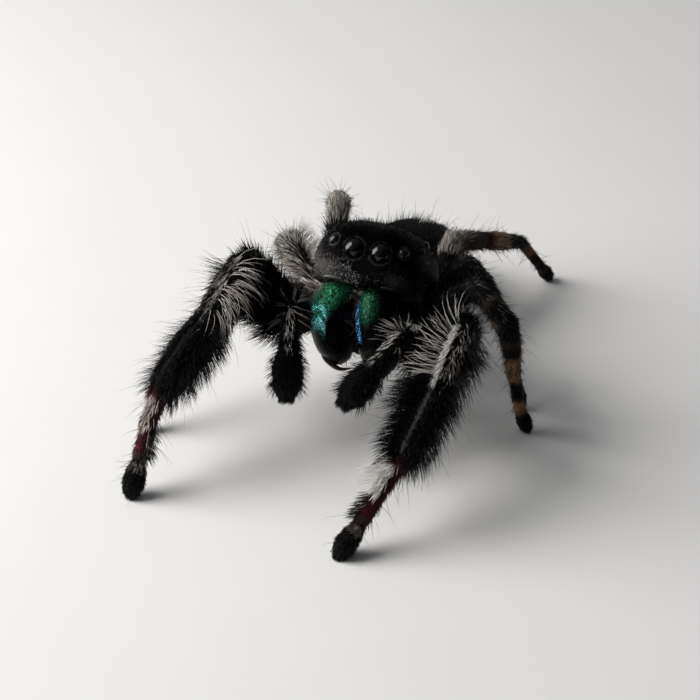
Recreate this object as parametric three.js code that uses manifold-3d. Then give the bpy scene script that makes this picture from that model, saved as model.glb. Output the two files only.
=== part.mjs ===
// A bold jumping spider, adult male, as a still life-size museum model.
// Units are millimetres, +Z is up, the head faces -Y and the spider's left side is +X.
// It stands with its front raised on eight feet, each with a small flat at floor level.

import * as THREE from 'three';
import { mergeVertices } from 'three/addons/utils/BufferGeometryUtils.js';
import Module from 'manifold-3d';

const wasm = await Module();
wasm.setup();

const { degToRad } = THREE.MathUtils;

// ---------------------------------------------------------------- driving dimensions

const WELD = 0.0005;              // points closer than this are one
const CUT = 0.04;                 // width of the thin cuts between neighbouring sub-parts

// The body's datum is the middle of the carapace at the height of its side margins.
const BODY = { height: 2.89, pitch: 28.4, roll: -4.6 };   // degrees: head up, left side down

const CARAPACE = {
  halfLength: 2.12,
  margin: -0.15,                  // height of the lower edge
  beam: 0.2,                      // height of the widest line
  boxiness: 2.5,                  // exponent of the superellipse sections
  sides: 22,
  // from brow to rear: place along the half-length, half-width, height of the top
  outline: [
    [-1.0, 1.04, 1.12], [-0.96, 1.22, 1.36], [-0.72, 1.5, 1.57], [-0.3, 1.7, 1.68],
    [0.12, 1.74, 1.58], [0.46, 1.5, 1.25], [0.74, 1.07, 0.79], [0.93, 0.7, 0.42], [1.0, 0.4, 0.19],
  ],
};

// Eyes in four pairs: radius, the right one's mirror-image place, and the number of facets.
const SOCKET_CLEARANCE = 0.02;
const EYES = {
  front: { radius: 0.31, at: [0.35, -1.98, 0.8], facets: 14 },
  side: { radius: 0.18, at: [0.92, -1.89, 0.92], facets: 10 },
  small: { radius: 0.08, at: [1.34, -1.18, 1.08], facets: 8 },
  rear: { radius: 0.17, at: [1.24, -0.42, 1.26], facets: 10 },
};

const ABDOMEN = {
  front: [0, 2.22, 0],            // the front end, in the body's frame
  rise: 16.5,                     // degrees, tail up from the line of the carapace
  turn: 7,                        // degrees to the left
  length: 4.45,
  halfWidth: 1.54,
  halfDepth: 1.3,
  fullest: 0.88,                  // below 1 moves the fullest section to the front
  blunt: 0.54,                    // below 1 rounds the ends off
  sections: 13,
  sides: 22,
};

const SPINNERETS = { radius: 0.16, spread: 0.13, stretch: 1.7, facets: 9 };

// Below the carapace: the breastplate and its core, the mouthparts and the waist.
const UNDERBODY = {
  top: -0.2,
  bottom: -1.02,
  halfWidth: 0.66,
  halfLength: 1.2,
  sides: 20,
};
const MOUTHPARTS = [
  { at: [0.3, -1.3, -1.12], radii: [0.28, 0.34, 0.4], facets: 10 },
  { at: [0.27, -1.6, -1.5], radii: [0.25, 0.26, 0.36], facets: 8 },
];
const WAIST = { from: [0, 0.7, -0.62], to: [0, 2.6, -0.3], halfThickness: 0.18, sides: 10 };

// Fang bases: stations down the right-hand mirror image, as [across, along, up, half-width, half-depth].
// Their lower halves swing to the left of the head.
const CHELICERA = {
  sides: 18,
  stations: [
    [0.5, -1.93, -0.19, 0.3, 0.28], [0.53, -1.97, -0.3, 0.48, 0.44], [0.6, -2.06, -0.65, 0.575, 0.57],
    [0.64, -2.13, -1.1, 0.61, 0.615], [0.63, -2.19, -1.58, 0.58, 0.57], [0.61, -2.2, -2.0, 0.46, 0.45],
    [0.6, -2.18, -2.24, 0.2, 0.2],
  ],
  swing: 0.3,
  swingFrom: -0.9,
};
const FANG = {
  sides: 8,
  path: [[0.88, -2.2, -1.95], [0.8, -2.3, -2.2], [0.5, -2.32, -2.37], [0.12, -2.2, -2.27]],
  thickness: [[0, 0.15, 0.15], [0.5, 0.12, 0.12], [1, 0.035, 0.035]],
};

// Feelers: lengths to the knee, to the wrist and of the rounded tip, with each one's directions as
// heading towards its own side and rise above level, in degrees.
const PALP = {
  root: [0.62, -1.26, -1.1],
  hip: [1.2, -1.5, -1.06],
  toKnee: 1.62,
  toWrist: 1.3,
  tip: 1.2,
  sides: 10,
  hipThickness: [[0, 0.16, 0.16], [1, 0.2, 0.2]],
  armThickness: [[0, 0.2, 0.2], [0.7, 0.27, 0.27], [1, 0.26, 0.26]],
  wristThickness: [[0, 0.26, 0.26], [0.5, 0.3, 0.29], [1, 0.27, 0.27]],
  tipThickness: [[0, 0.32, 0.32], [0.4, 0.46, 0.45], [0.8, 0.4, 0.38], [1, 0.16, 0.16]],
  pose: {
    right: { side: -1, arm: [11, 31], hand: [-9, -60] },
    left: { side: 1, arm: [13.5, 26], hand: [-38, -35.5] },
  },
};

// Legs: hips and the roots of the coxae on the left-hand side, in the body's frame.
const HIP = { 1: [1.67, -1.34, -1.57], 2: [1.6, -0.45, -0.65], 3: [1.6, 0.45, -0.65], 4: [1.4, 1.25, -0.6] };
const COXA_ROOT = {
  1: [0.62, -0.84, -0.82], 2: [0.78, -0.34, -0.68], 3: [0.78, 0.32, -0.68], 4: [0.6, 0.88, -0.66],
};
const SEGMENTS = ['femur', 'patella', 'tibia', 'metatarsus', 'tarsus'];
const LENGTH = {
  1: [2.77, 1.79, 2.33, 1.79, 0.94],
  2: [2.19, 1.31, 1.48, 1.18, 0.72],
  3: [2.13, 1.11, 1.31, 1.31, 0.7],
  4: [2.54, 1.38, 2.1, 1.25, 0.74],
};
// Half-thickness with its coat, across and from back to belly, at places along each segment.
const THICKNESS = {
  1: {
    coxa: [[0, 0.26, 0.26], [1, 0.32, 0.32]],
    femur: [[0, 0.32, 0.32], [0.3, 0.48, 0.6], [0.7, 0.52, 0.64], [1, 0.46, 0.5]],
    patella: [[0, 0.46, 0.5], [0.5, 0.58, 0.56], [1, 0.5, 0.46]],
    tibia: [[0, 0.5, 0.46], [0.3, 0.56, 0.6], [0.75, 0.46, 0.52], [1, 0.28, 0.3]],
    metatarsus: [[0, 0.26, 0.26], [0.4, 0.26, 0.26], [0.8, 0.33, 0.33], [1, 0.26, 0.26]],
    tarsus: [[0, 0.25, 0.25], [0.45, 0.34, 0.34], [0.8, 0.28, 0.28], [1, 0.14, 0.14]],
  },
  2: {
    coxa: [[0, 0.24, 0.24], [1, 0.28, 0.28]],
    femur: [[0, 0.28, 0.28], [0.4, 0.36, 0.4], [0.8, 0.34, 0.36], [1, 0.3, 0.3]],
    patella: [[0, 0.3, 0.3], [0.5, 0.36, 0.36], [1, 0.28, 0.28]],
    tibia: [[0, 0.28, 0.28], [0.4, 0.32, 0.32], [1, 0.26, 0.26]],
    metatarsus: [[0, 0.26, 0.26], [0.6, 0.25, 0.25], [1, 0.25, 0.25]],
    tarsus: [[0, 0.25, 0.25], [0.6, 0.26, 0.26], [1, 0.13, 0.13]],
  },
};
THICKNESS[3] = THICKNESS[2];
THICKNESS[4] = THICKNESS[2];
const LEG_SIDES = { 1: 10, 2: 8, 3: 8, 4: 8 };
const RINGS_PER_SEGMENT = 4;

// The stance: heading from straight ahead towards the leg's own side, tilt of the leg's plane, rise
// of each segment above level, and sideways turn beyond the patella, all in degrees.
const STANCE = [
  { name: 'leg1_right', side: -1, pair: 1, heading: 29, tilt: 8.5, rise: [58, -37, -30.5, -58, -62], turn: 0.5 },
  { name: 'leg1_left', side: 1, pair: 1, heading: 8, tilt: 35.5, rise: [52, -29, -38, -57.5, -60], turn: 0 },
  { name: 'leg2_right', side: -1, pair: 2, heading: 52, tilt: 7, rise: [11, -29, -34, -64, -55], turn: -17 },
  { name: 'leg2_left', side: 1, pair: 2, heading: 67, tilt: -4, rise: [44, -32, -84, -78, -64], turn: -3 },
  { name: 'leg3_right', side: -1, pair: 3, heading: 147.5, tilt: -11, rise: [17, -33, -44, -47, -37], turn: 29 },
  { name: 'leg3_left', side: 1, pair: 3, heading: 76, tilt: 4, rise: [62, -46, -62, -73, -74], turn: -3 },
  { name: 'leg4_right', side: -1, pair: 4, heading: 169, tilt: 4, rise: [47, -20, -40, -66, -66], turn: 0 },
  { name: 'leg4_left', side: 1, pair: 4, heading: 163, tilt: 19, rise: [28, -22, -22.5, -57, -57], turn: -7 },
];

// ---------------------------------------------------------------- finishes

const FINISH = {
  shell: { color: 0x0b0a0c, roughness: 0.45, metalness: 0 },
  eye: { color: 0x020204, roughness: 0.05, metalness: 0 },
  iridescent: { color: 0x0f7a52, roughness: 0.25, metalness: 0.6 },
  fang: { color: 0x0a0605, roughness: 0.15, metalness: 0 },
  blackFur: { color: 0x0d0c0e, roughness: 0.8, metalness: 0 },
  palePatella: { color: 0x8c8884, roughness: 0.8, metalness: 0 },
  redShank: { color: 0x5a1c22, roughness: 0.6, metalness: 0 },
  bandedShank: { color: 0x6e5746, roughness: 0.7, metalness: 0 },
};

function material(finish) {
  return new THREE.MeshStandardMaterial(FINISH[finish]);
}

// ---------------------------------------------------------------- geometry helpers

const vec = (list) => new THREE.Vector3(...list);
const mirrored = (list, side) => new THREE.Vector3(list[0] * side, list[1], list[2]);

// Value of a table of [place, value, value...] at a place, on smooth steps between its rows.
function tableAt(table, place) {
  const last = table.length - 1;
  let row = 0;
  while (row < last - 1 && table[row + 1][0] < place) row += 1;
  const [low, high] = [table[row], table[row + 1]];
  const t = THREE.MathUtils.smoothstep(place, low[0], high[0]);
  return low.slice(1).map((value, i) => THREE.MathUtils.lerp(value, high[i + 1], t));
}

// Turns a closed skin outward if it was wound inward.
function outward(geometry) {
  const p = geometry.attributes.position;
  const index = geometry.index.array;
  const [a, b, c] = [new THREE.Vector3(), new THREE.Vector3(), new THREE.Vector3()];
  let volume = 0;
  for (let i = 0; i < index.length; i += 3) {
    a.fromBufferAttribute(p, index[i]);
    b.fromBufferAttribute(p, index[i + 1]);
    c.fromBufferAttribute(p, index[i + 2]);
    volume += a.dot(b.cross(c));
  }
  if (volume < 0) {
    for (let i = 0; i < index.length; i += 3) {
      [index[i], index[i + 1]] = [index[i + 1], index[i]];
    }
  }
  return geometry;
}

// A closed skin over a row of rings, each with the same number of points, with a fan at each end.
function skinOver(rings) {
  const sides = rings[0].length;
  const points = rings.flat();
  const index = [];
  for (let r = 0; r < rings.length - 1; r += 1) {
    for (let s = 0; s < sides; s += 1) {
      const a = r * sides + s;
      const b = r * sides + ((s + 1) % sides);
      index.push(a, b, b + sides, a, b + sides, a + sides);
    }
  }
  for (const [first, flip] of [[0, true], [(rings.length - 1) * sides, false]]) {
    const centre = new THREE.Vector3();
    for (let s = 0; s < sides; s += 1) centre.add(points[first + s]);
    points.push(centre.divideScalar(sides));
    for (let s = 0; s < sides; s += 1) {
      const a = first + s;
      const b = first + ((s + 1) % sides);
      index.push(flip ? b : a, flip ? a : b, points.length - 1);
    }
  }
  const geometry = new THREE.BufferGeometry().setFromPoints(points);
  geometry.setIndex(index);
  return outward(geometry);
}

// An elliptical ring with half-axes a and b about a centre.
function ellipse(centre, a, b, sides) {
  const ring = [];
  for (let s = 0; s < sides; s += 1) {
    const angle = (2 * Math.PI * s) / sides;
    ring.push(centre.clone().addScaledVector(a, Math.cos(angle)).addScaledVector(b, Math.sin(angle)));
  }
  return ring;
}

// A limb along a path of straight lengths. It keeps inside the planes through the path's two ends,
// and turns at the inner points on the planes that halve each bend.
function limb({ path, thickness, sides, across, startNormal, endNormal, trim = [CUT / 2, CUT / 2] }) {
  const spans = path.length - 1;
  const along = [];
  for (let i = 0; i < spans; i += 1) along.push(path[i + 1].clone().sub(path[i]).normalize());
  const normals = [startNormal ?? along[0].clone()];
  for (let i = 1; i < spans; i += 1) normals.push(along[i - 1].clone().add(along[i]).normalize());
  normals.push(endNormal ?? along[spans - 1].clone());

  const x = across.clone().addScaledVector(along[0], -across.dot(along[0])).normalize();
  const y = along[0].clone().cross(x);
  const rings = [];
  for (let i = 0; i < spans; i += 1) {
    if (i > 0) {
      const bend = new THREE.Quaternion().setFromUnitVectors(along[i - 1], along[i]);
      x.applyQuaternion(bend);
      y.applyQuaternion(bend);
    }
    const length = path[i].distanceTo(path[i + 1]);
    const startTrim = i === 0 ? trim[0] : 0;
    const endTrim = i === spans - 1 ? trim[1] : 0;
    for (let r = i === 0 ? 0 : 1; r <= RINGS_PER_SEGMENT; r += 1) {
      const place = r / RINGS_PER_SEGMENT;
      const [halfAcross, halfDeep] = tableAt(thickness[i], place);
      const ring = [];
      for (let s = 0; s < sides; s += 1) {
        const angle = (2 * Math.PI * s) / sides;
        const offset = x.clone().multiplyScalar(halfAcross * Math.cos(angle));
        offset.addScaledVector(y, halfDeep * Math.sin(angle));
        const start = (startTrim - offset.dot(normals[i])) / along[i].dot(normals[i]);
        const end = length + (-endTrim - offset.dot(normals[i + 1])) / along[i].dot(normals[i + 1]);
        const reach = THREE.MathUtils.lerp(start, end, place);
        ring.push(path[i].clone().add(offset).addScaledVector(along[i], reach));
      }
      rings.push(ring);
    }
  }
  return skinOver(rings);
}

function toSolid(geometry) {
  const bare = geometry.clone();
  for (const name of Object.keys(bare.attributes)) {
    if (name !== 'position') bare.deleteAttribute(name);
  }
  const merged = mergeVertices(bare, WELD);
  return new wasm.Manifold(new wasm.Mesh({
    numProp: 3,
    vertProperties: new Float32Array(merged.attributes.position.array),
    triVerts: new Uint32Array(merged.index.array),
  }));
}

function fromSolid(solid) {
  const mesh = solid.getMesh();
  const geometry = new THREE.BufferGeometry();
  geometry.setAttribute('position', new THREE.BufferAttribute(new Float32Array(mesh.vertProperties), 3));
  geometry.setIndex(new THREE.BufferAttribute(new Uint32Array(mesh.triVerts), 1));
  return geometry;
}

function ball(centre, radii, facets) {
  const geometry = new THREE.SphereGeometry(1, facets, Math.ceil(facets / 2));
  geometry.rotateX(Math.PI / 2);
  geometry.scale(...radii);
  geometry.translate(centre.x, centre.y, centre.z);
  return geometry;
}

function named(name, geometry, finish) {
  const mesh = new THREE.Mesh(geometry, material(finish));
  mesh.name = name;
  return mesh;
}

// ---------------------------------------------------------------- head and trunk, in the body's frame

function eyePairs() {
  const list = [];
  for (const [pair, eye] of Object.entries(EYES)) {
    for (const [word, side] of [['right', -1], ['left', 1]]) {
      list.push({ name: `eye_${pair}_${word}`, centre: mirrored(eye.at, side), ...eye });
    }
  }
  return list;
}

function carapaceGeometry() {
  const { halfLength, margin, beam, boxiness, sides, outline } = CARAPACE;
  const spine = new THREE.CatmullRomCurve3(outline.map((row) => vec(row)));
  const rings = [];
  const stations = 2 * (outline.length - 1);
  for (let i = 0; i <= stations; i += 1) {
    const { x: place, y: halfWidth, z: top } = spine.getPoint(i / stations);
    const ring = [];
    for (let s = 0; s < sides; s += 1) {
      const angle = (2 * Math.PI * s) / sides;
      const [c, d] = [Math.cos(angle), Math.sin(angle)];
      const across = Math.sign(c) * Math.abs(c) ** (2 / boxiness) * halfWidth;
      const rise = Math.sign(d) * Math.abs(d) ** (2 / boxiness);
      const widest = Math.min(beam, (top + margin) / 2);
      const up = widest + rise * (d > 0 ? top - widest : widest - margin);
      ring.push(new THREE.Vector3(across, place * halfLength, up));
    }
    rings.push(ring);
  }
  let shell = toSolid(skinOver(rings));
  for (const eye of eyePairs()) {
    const reach = eye.radius + SOCKET_CLEARANCE;
    shell = shell.subtract(toSolid(ball(eye.centre, [reach, reach, reach], eye.facets)));
  }
  return fromSolid(shell);
}

const abdomenPlace = new THREE.Matrix4()
  .makeRotationFromEuler(new THREE.Euler(degToRad(ABDOMEN.rise), 0, degToRad(-ABDOMEN.turn), 'ZXY'))
  .setPosition(...ABDOMEN.front);

function underbodyGeometry() {
  const { top, bottom, halfWidth, halfLength, sides } = UNDERBODY;
  const rings = [];
  const levels = [[top, 0.94], [top - 0.08, 1], [bottom + 0.22, 1], [bottom + 0.05, 0.86], [bottom, 0.6]];
  for (const [height, share] of levels) {
    const centre = new THREE.Vector3(0, 0, height);
    const a = new THREE.Vector3(halfWidth * share, 0, 0);
    const b = new THREE.Vector3(0, halfLength * share, 0);
    rings.push(ellipse(centre, a, b, sides));
  }
  let solid = toSolid(skinOver(rings));
  for (const side of [-1, 1]) {
    for (const { at, radii, facets } of MOUTHPARTS) {
      solid = solid.add(toSolid(ball(mirrored(at, side), radii, facets)));
    }
  }
  const half = WAIST.halfThickness;
  const waist = limb({
    path: [vec(WAIST.from), vec(WAIST.to)],
    thickness: [[[0, half, half], [1, half, half]]],
    sides: WAIST.sides,
    across: new THREE.Vector3(1, 0, 0),
  });
  const abdomenRoom = toSolid(abdomenGeometry(CUT).applyMatrix4(abdomenPlace));
  return fromSolid(withoutJaws(solid.add(toSolid(waist)).subtract(abdomenRoom)));
}

// How far to the left the swing of the fang bases carries a point at a height.
function jawSwing(z) {
  return CHELICERA.swing * Math.max(0, CHELICERA.swingFrom - z);
}

// A fang base, made larger by a margin.
function cheliceraGeometry(side, extra = 0) {
  const last = CHELICERA.stations.length - 1;
  const rings = CHELICERA.stations.map(([x, y, z, halfWidth, halfDepth], i) => ellipse(
    new THREE.Vector3(x * side + jawSwing(z), y, z + (i === 0 ? extra : 0) - (i === last ? extra : 0)),
    new THREE.Vector3(halfWidth + extra, 0, 0),
    new THREE.Vector3(0, halfDepth + extra, 0),
    CHELICERA.sides,
  ));
  return skinOver(rings);
}

// A solid with the room of both fang bases cut away and only its main piece kept. The placement takes
// the body's frame to the solid's.
function withoutJaws(solid, placement = new THREE.Matrix4()) {
  const rest = [-1, 1].reduce(
    (left, side) => left.subtract(toSolid(cheliceraGeometry(side, CUT).applyMatrix4(placement))),
    solid,
  );
  return rest.decompose().sort((a, b) => b.volume() - a.volume())[0];
}

function fangGeometry(side) {
  const path = FANG.path.map((point) => {
    const place = mirrored(point, side);
    return place.setX(place.x + jawSwing(place.z));
  });
  const spans = path.length - 1;
  const thickness = [];
  for (let i = 0; i < spans; i += 1) {
    const [near, far] = [tableAt(FANG.thickness, i / spans), tableAt(FANG.thickness, (i + 1) / spans)];
    thickness.push([[0, ...near], [1, ...far]]);
  }
  const whole = limb({ path, thickness, sides: FANG.sides, across: new THREE.Vector3(0, 1, 0) });
  return fromSolid(withoutJaws(toSolid(whole)));
}

// The abdomen's skin in its own frame, front end at the origin and tail along +Y, made larger by a margin.
function abdomenGeometry(extra = 0) {
  const { length, halfWidth, halfDepth, fullest, blunt, sections, sides } = ABDOMEN;
  const rings = [];
  for (let i = 0; i < sections; i += 1) {
    const place = 0.5 - 0.494 * Math.cos((Math.PI * i) / (sections - 1));
    const share = Math.sin(Math.PI * place ** fullest) ** blunt;
    rings.push(ellipse(
      new THREE.Vector3(0, place * (length + 2 * extra) - extra, 0),
      new THREE.Vector3(halfWidth * share + extra, 0, 0),
      new THREE.Vector3(0, 0, halfDepth * share + extra),
      sides,
    ));
  }
  return skinOver(rings);
}

// Three short nozzles at the tail, cut to the abdomen's shape.
function spinneretGeometry() {
  const { radius, spread, stretch, facets } = SPINNERETS;
  const radii = [radius, radius * stretch, radius];
  const tail = ABDOMEN.length;
  let cluster = toSolid(ball(new THREE.Vector3(0, tail, -spread), radii, facets));
  for (const side of [-1, 1]) {
    cluster = cluster.add(toSolid(ball(new THREE.Vector3(side * spread, tail, spread / 2), radii, facets)));
  }
  return fromSolid(cluster.subtract(toSolid(abdomenGeometry(CUT))));
}

const body = new THREE.Group();
body.position.set(0, 0, BODY.height);
body.rotation.set(degToRad(-BODY.pitch), degToRad(-BODY.roll), 0, 'XYZ');
body.add(named('carapace', carapaceGeometry(), 'shell'));
body.add(named('underbody', underbodyGeometry(), 'shell'));
for (const eye of eyePairs()) {
  body.add(named(eye.name, ball(eye.centre, [eye.radius, eye.radius, eye.radius], eye.facets), 'eye'));
}
for (const [word, side] of [['right', -1], ['left', 1]]) {
  body.add(named(`chelicera_${word}`, cheliceraGeometry(side), 'iridescent'));
  body.add(named(`fang_${word}`, fangGeometry(side), 'fang'));
}
const abdomen = new THREE.Group();
abdomen.applyMatrix4(abdomenPlace);
abdomen.add(named('abdomen', abdomenGeometry(), 'blackFur'));
abdomen.add(named('spinnerets', spinneretGeometry(), 'shell'));
body.add(abdomen);
body.updateMatrixWorld(true);

// ---------------------------------------------------------------- feelers and legs, in the floor's frame

const toFloorFrame = (point) => point.applyMatrix4(body.matrixWorld);

// Direction of a length that heads towards one side, rises above level, and lies in a tilted plane.
function direction(side, headingDegrees, riseDegrees, tiltDegrees = 0) {
  const [heading, rise, tilt] = [headingDegrees, riseDegrees, tiltDegrees].map(degToRad);
  const ahead = new THREE.Vector3(side * Math.sin(heading), -Math.cos(heading), 0);
  const outAndBack = new THREE.Vector3(side * Math.cos(heading), Math.sin(heading), 0);
  const lift = new THREE.Vector3(0, 0, Math.cos(tilt)).addScaledVector(outAndBack, Math.sin(tilt));
  return ahead.multiplyScalar(Math.cos(rise)).addScaledVector(lift, Math.sin(rise));
}

function palp(word, { side, arm: armWay, hand }) {
  const root = toFloorFrame(mirrored(PALP.root, side));
  const hip = toFloorFrame(mirrored(PALP.hip, side));
  const knee = hip.clone().addScaledVector(direction(side, ...armWay), PALP.toKnee);
  const handWay = direction(side, ...hand);
  const wrist = knee.clone().addScaledVector(handWay, PALP.toWrist);
  const tip = wrist.clone().addScaledVector(handWay, PALP.tip);
  const across = new THREE.Vector3(1, 0, 0);
  const armPiece = limb({
    path: [root, hip, knee, wrist],
    thickness: [PALP.hipThickness, PALP.armThickness, PALP.wristThickness],
    sides: PALP.sides,
    across,
  });
  const tipPiece = limb({ path: [wrist, tip], thickness: [PALP.tipThickness], sides: PALP.sides, across });
  const arm = fromSolid(withoutJaws(toSolid(armPiece), body.matrixWorld));
  return [named(`palp_${word}_arm`, arm, 'palePatella'), named(`palp_${word}_tip`, tipPiece, 'blackFur')];
}

// The joints of a leg from its hip to its foot, the last one brought to the floor.
function legJoints({ side, pair, heading, tilt, rise, turn }) {
  const joints = [toFloorFrame(mirrored(HIP[pair], side))];
  rise.forEach((segmentRise, i) => {
    const way = direction(side, heading + (i >= 2 ? turn : 0), segmentRise, tilt);
    const from = joints[i];
    const isTarsus = i === rise.length - 1;
    const length = isTarsus ? -from.z / way.z : LENGTH[pair][i];
    joints.push(from.clone().addScaledVector(way, length));
  });
  return joints;
}

const LEG_ENDS = { femur: 'blackFur', patella: 'palePatella', tarsus: 'blackFur' };
const LEG_FINISH = {
  1: { ...LEG_ENDS, tibia: 'blackFur', metatarsus: 'redShank' },
  2: { ...LEG_ENDS, tibia: 'bandedShank', metatarsus: 'bandedShank' },
};
LEG_FINISH[3] = LEG_FINISH[2];
LEG_FINISH[4] = LEG_FINISH[2];

function leg(stance) {
  const { name, side, pair } = stance;
  const joints = legJoints(stance);
  const root = toFloorFrame(mirrored(COXA_ROOT[pair], side));
  const heading = degToRad(stance.heading);
  const across = new THREE.Vector3(side * Math.cos(heading), Math.sin(heading), 0);
  const way = (i) => joints[i + 1].clone().sub(joints[i]).normalize();
  const bend = (i) => way(i - 1).add(way(i)).normalize();
  return SEGMENTS.map((segment, i) => {
    const isFoot = i === SEGMENTS.length - 1;
    const piece = limb({
      path: i === 0 ? [root, joints[0], joints[1]] : [joints[i], joints[i + 1]],
      thickness: i === 0 ? [THICKNESS[pair].coxa, THICKNESS[pair].femur] : [THICKNESS[pair][segment]],
      sides: LEG_SIDES[pair],
      across,
      startNormal: i === 0 ? undefined : bend(i),
      endNormal: isFoot ? new THREE.Vector3(0, 0, -1) : bend(i + 1),
      trim: [CUT / 2, isFoot ? 0 : CUT / 2],
    });
    return named(`${name}_${segment}`, piece, LEG_FINISH[pair][segment]);
  });
}

// ---------------------------------------------------------------- the whole spider

const spider = new THREE.Group();
spider.add(body);
for (const [word, pose] of Object.entries(PALP.pose)) spider.add(...palp(word, pose));
for (const stance of STANCE) spider.add(...leg(stance));

// The origin is on the floor, under the middle of the whole spider's box.
spider.updateMatrixWorld(true);
const middle = new THREE.Box3().setFromObject(spider, true).getCenter(new THREE.Vector3());
spider.position.set(-middle.x, -middle.y, 0);

export default spider;
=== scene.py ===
"""Looks of a life-size bold jumping spider: one skin with a coat of solid hairs, eyes and shining jaws.

Shapes are worked out in millimetres in the part's own frame: +Z is up, the head faces -Y and the
spider's left side is +X. They become metres when a piece is made.
"""

import math
from collections import namedtuple

import bmesh
import bpy
import numpy as np
from mathutils import Matrix, Vector
from mathutils.bvhtree import BVHTree


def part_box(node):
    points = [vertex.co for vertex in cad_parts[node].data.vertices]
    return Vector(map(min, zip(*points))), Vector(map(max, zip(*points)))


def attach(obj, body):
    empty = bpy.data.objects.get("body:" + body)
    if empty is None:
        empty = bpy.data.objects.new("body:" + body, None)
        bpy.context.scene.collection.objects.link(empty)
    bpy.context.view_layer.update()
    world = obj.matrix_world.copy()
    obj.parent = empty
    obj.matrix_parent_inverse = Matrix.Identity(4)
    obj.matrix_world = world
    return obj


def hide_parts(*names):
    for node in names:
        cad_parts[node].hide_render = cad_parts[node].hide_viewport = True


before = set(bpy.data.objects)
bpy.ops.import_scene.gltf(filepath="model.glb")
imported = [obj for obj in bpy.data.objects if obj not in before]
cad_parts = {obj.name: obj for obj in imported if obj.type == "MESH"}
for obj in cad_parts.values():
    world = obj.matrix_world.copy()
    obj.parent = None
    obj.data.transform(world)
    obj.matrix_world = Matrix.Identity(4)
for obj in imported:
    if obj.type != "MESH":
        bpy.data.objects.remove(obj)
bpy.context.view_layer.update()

bl_info = {
    "name": "Jumping spider",
    "version": (1, 0, 0),
    "blender": (4, 5, 0),
    "location": "3D View > Sidebar > Spider",
    "description": "Skin, coat, eyes and jaws of a life-size jumping spider",
    "category": "Mesh",
}

MM = 0.001
BODY_NAME = "root"
SIDES = {"right": -1, "left": 1}

# ------------------------------------------------------------------ stance, as in the solids

# The body's datum is the middle of the carapace at the height of its side margins.
BODY = {"height": 2.89, "pitch": 28.4, "roll": -4.6}
# Of each left leg, in the body's frame: its hip, the root of its coxa, and its lengths from the hip on.
# The last one, the tarsus, is as long as it takes to stand on the floor.
HIP = {1: (1.67, -1.34, -1.57), 2: (1.6, -0.45, -0.65), 3: (1.6, 0.45, -0.65), 4: (1.4, 1.25, -0.6)}
COXA_ROOT = {1: (0.5, -0.8, -0.78), 2: (0.6, -0.34, -0.65), 3: (0.6, 0.32, -0.65), 4: (0.5, 0.84, -0.62)}
SEGMENTS = ("femur", "patella", "tibia", "metatarsus", "tarsus")
LENGTH = {
    1: (2.77, 1.79, 2.33, 1.79),
    2: (2.19, 1.31, 1.48, 1.18),
    3: (2.13, 1.11, 1.31, 1.31),
    4: (2.54, 1.38, 2.1, 1.25),
}
# Side, pair, heading from straight ahead towards the own side, tilt of the leg's plane, rise of each
# segment above level, and sideways turn beyond the patella, in degrees.
STANCE = (
    ("right", 1, 29, 8.5, (58, -37, -30.5, -58, -62), 0.5),
    ("left", 1, 8, 35.5, (52, -29, -38, -57.5, -60), 0),
    ("right", 2, 52, 7, (11, -29, -34, -64, -55), -17),
    ("left", 2, 67, -4, (44, -32, -84, -78, -64), -3),
    ("right", 3, 147.5, -11, (17, -33, -44, -47, -37), 29),
    ("left", 3, 76, 4, (62, -46, -62, -73, -74), -3),
    ("right", 4, 169, 4, (47, -20, -40, -66, -66), 0),
    ("left", 4, 163, 19, (28, -22, -22.5, -57, -57), -7),
)
# How far above the floor the bare feet end.
FOOT_CLEARANCE = 0.06
# The left feeler in the body's frame. Its stances are heading and rise of the femur, and of all beyond.
PALP = {"root": (0.5, -1.22, -1.05), "hip": (1.2, -1.5, -1.06), "to_knee": 1.62, "to_tip": 2.5}
PALP_STANCE = (("right", (11, 31), (-9, -60)), ("left", (13.5, 26), (-38, -35.5)))

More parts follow.
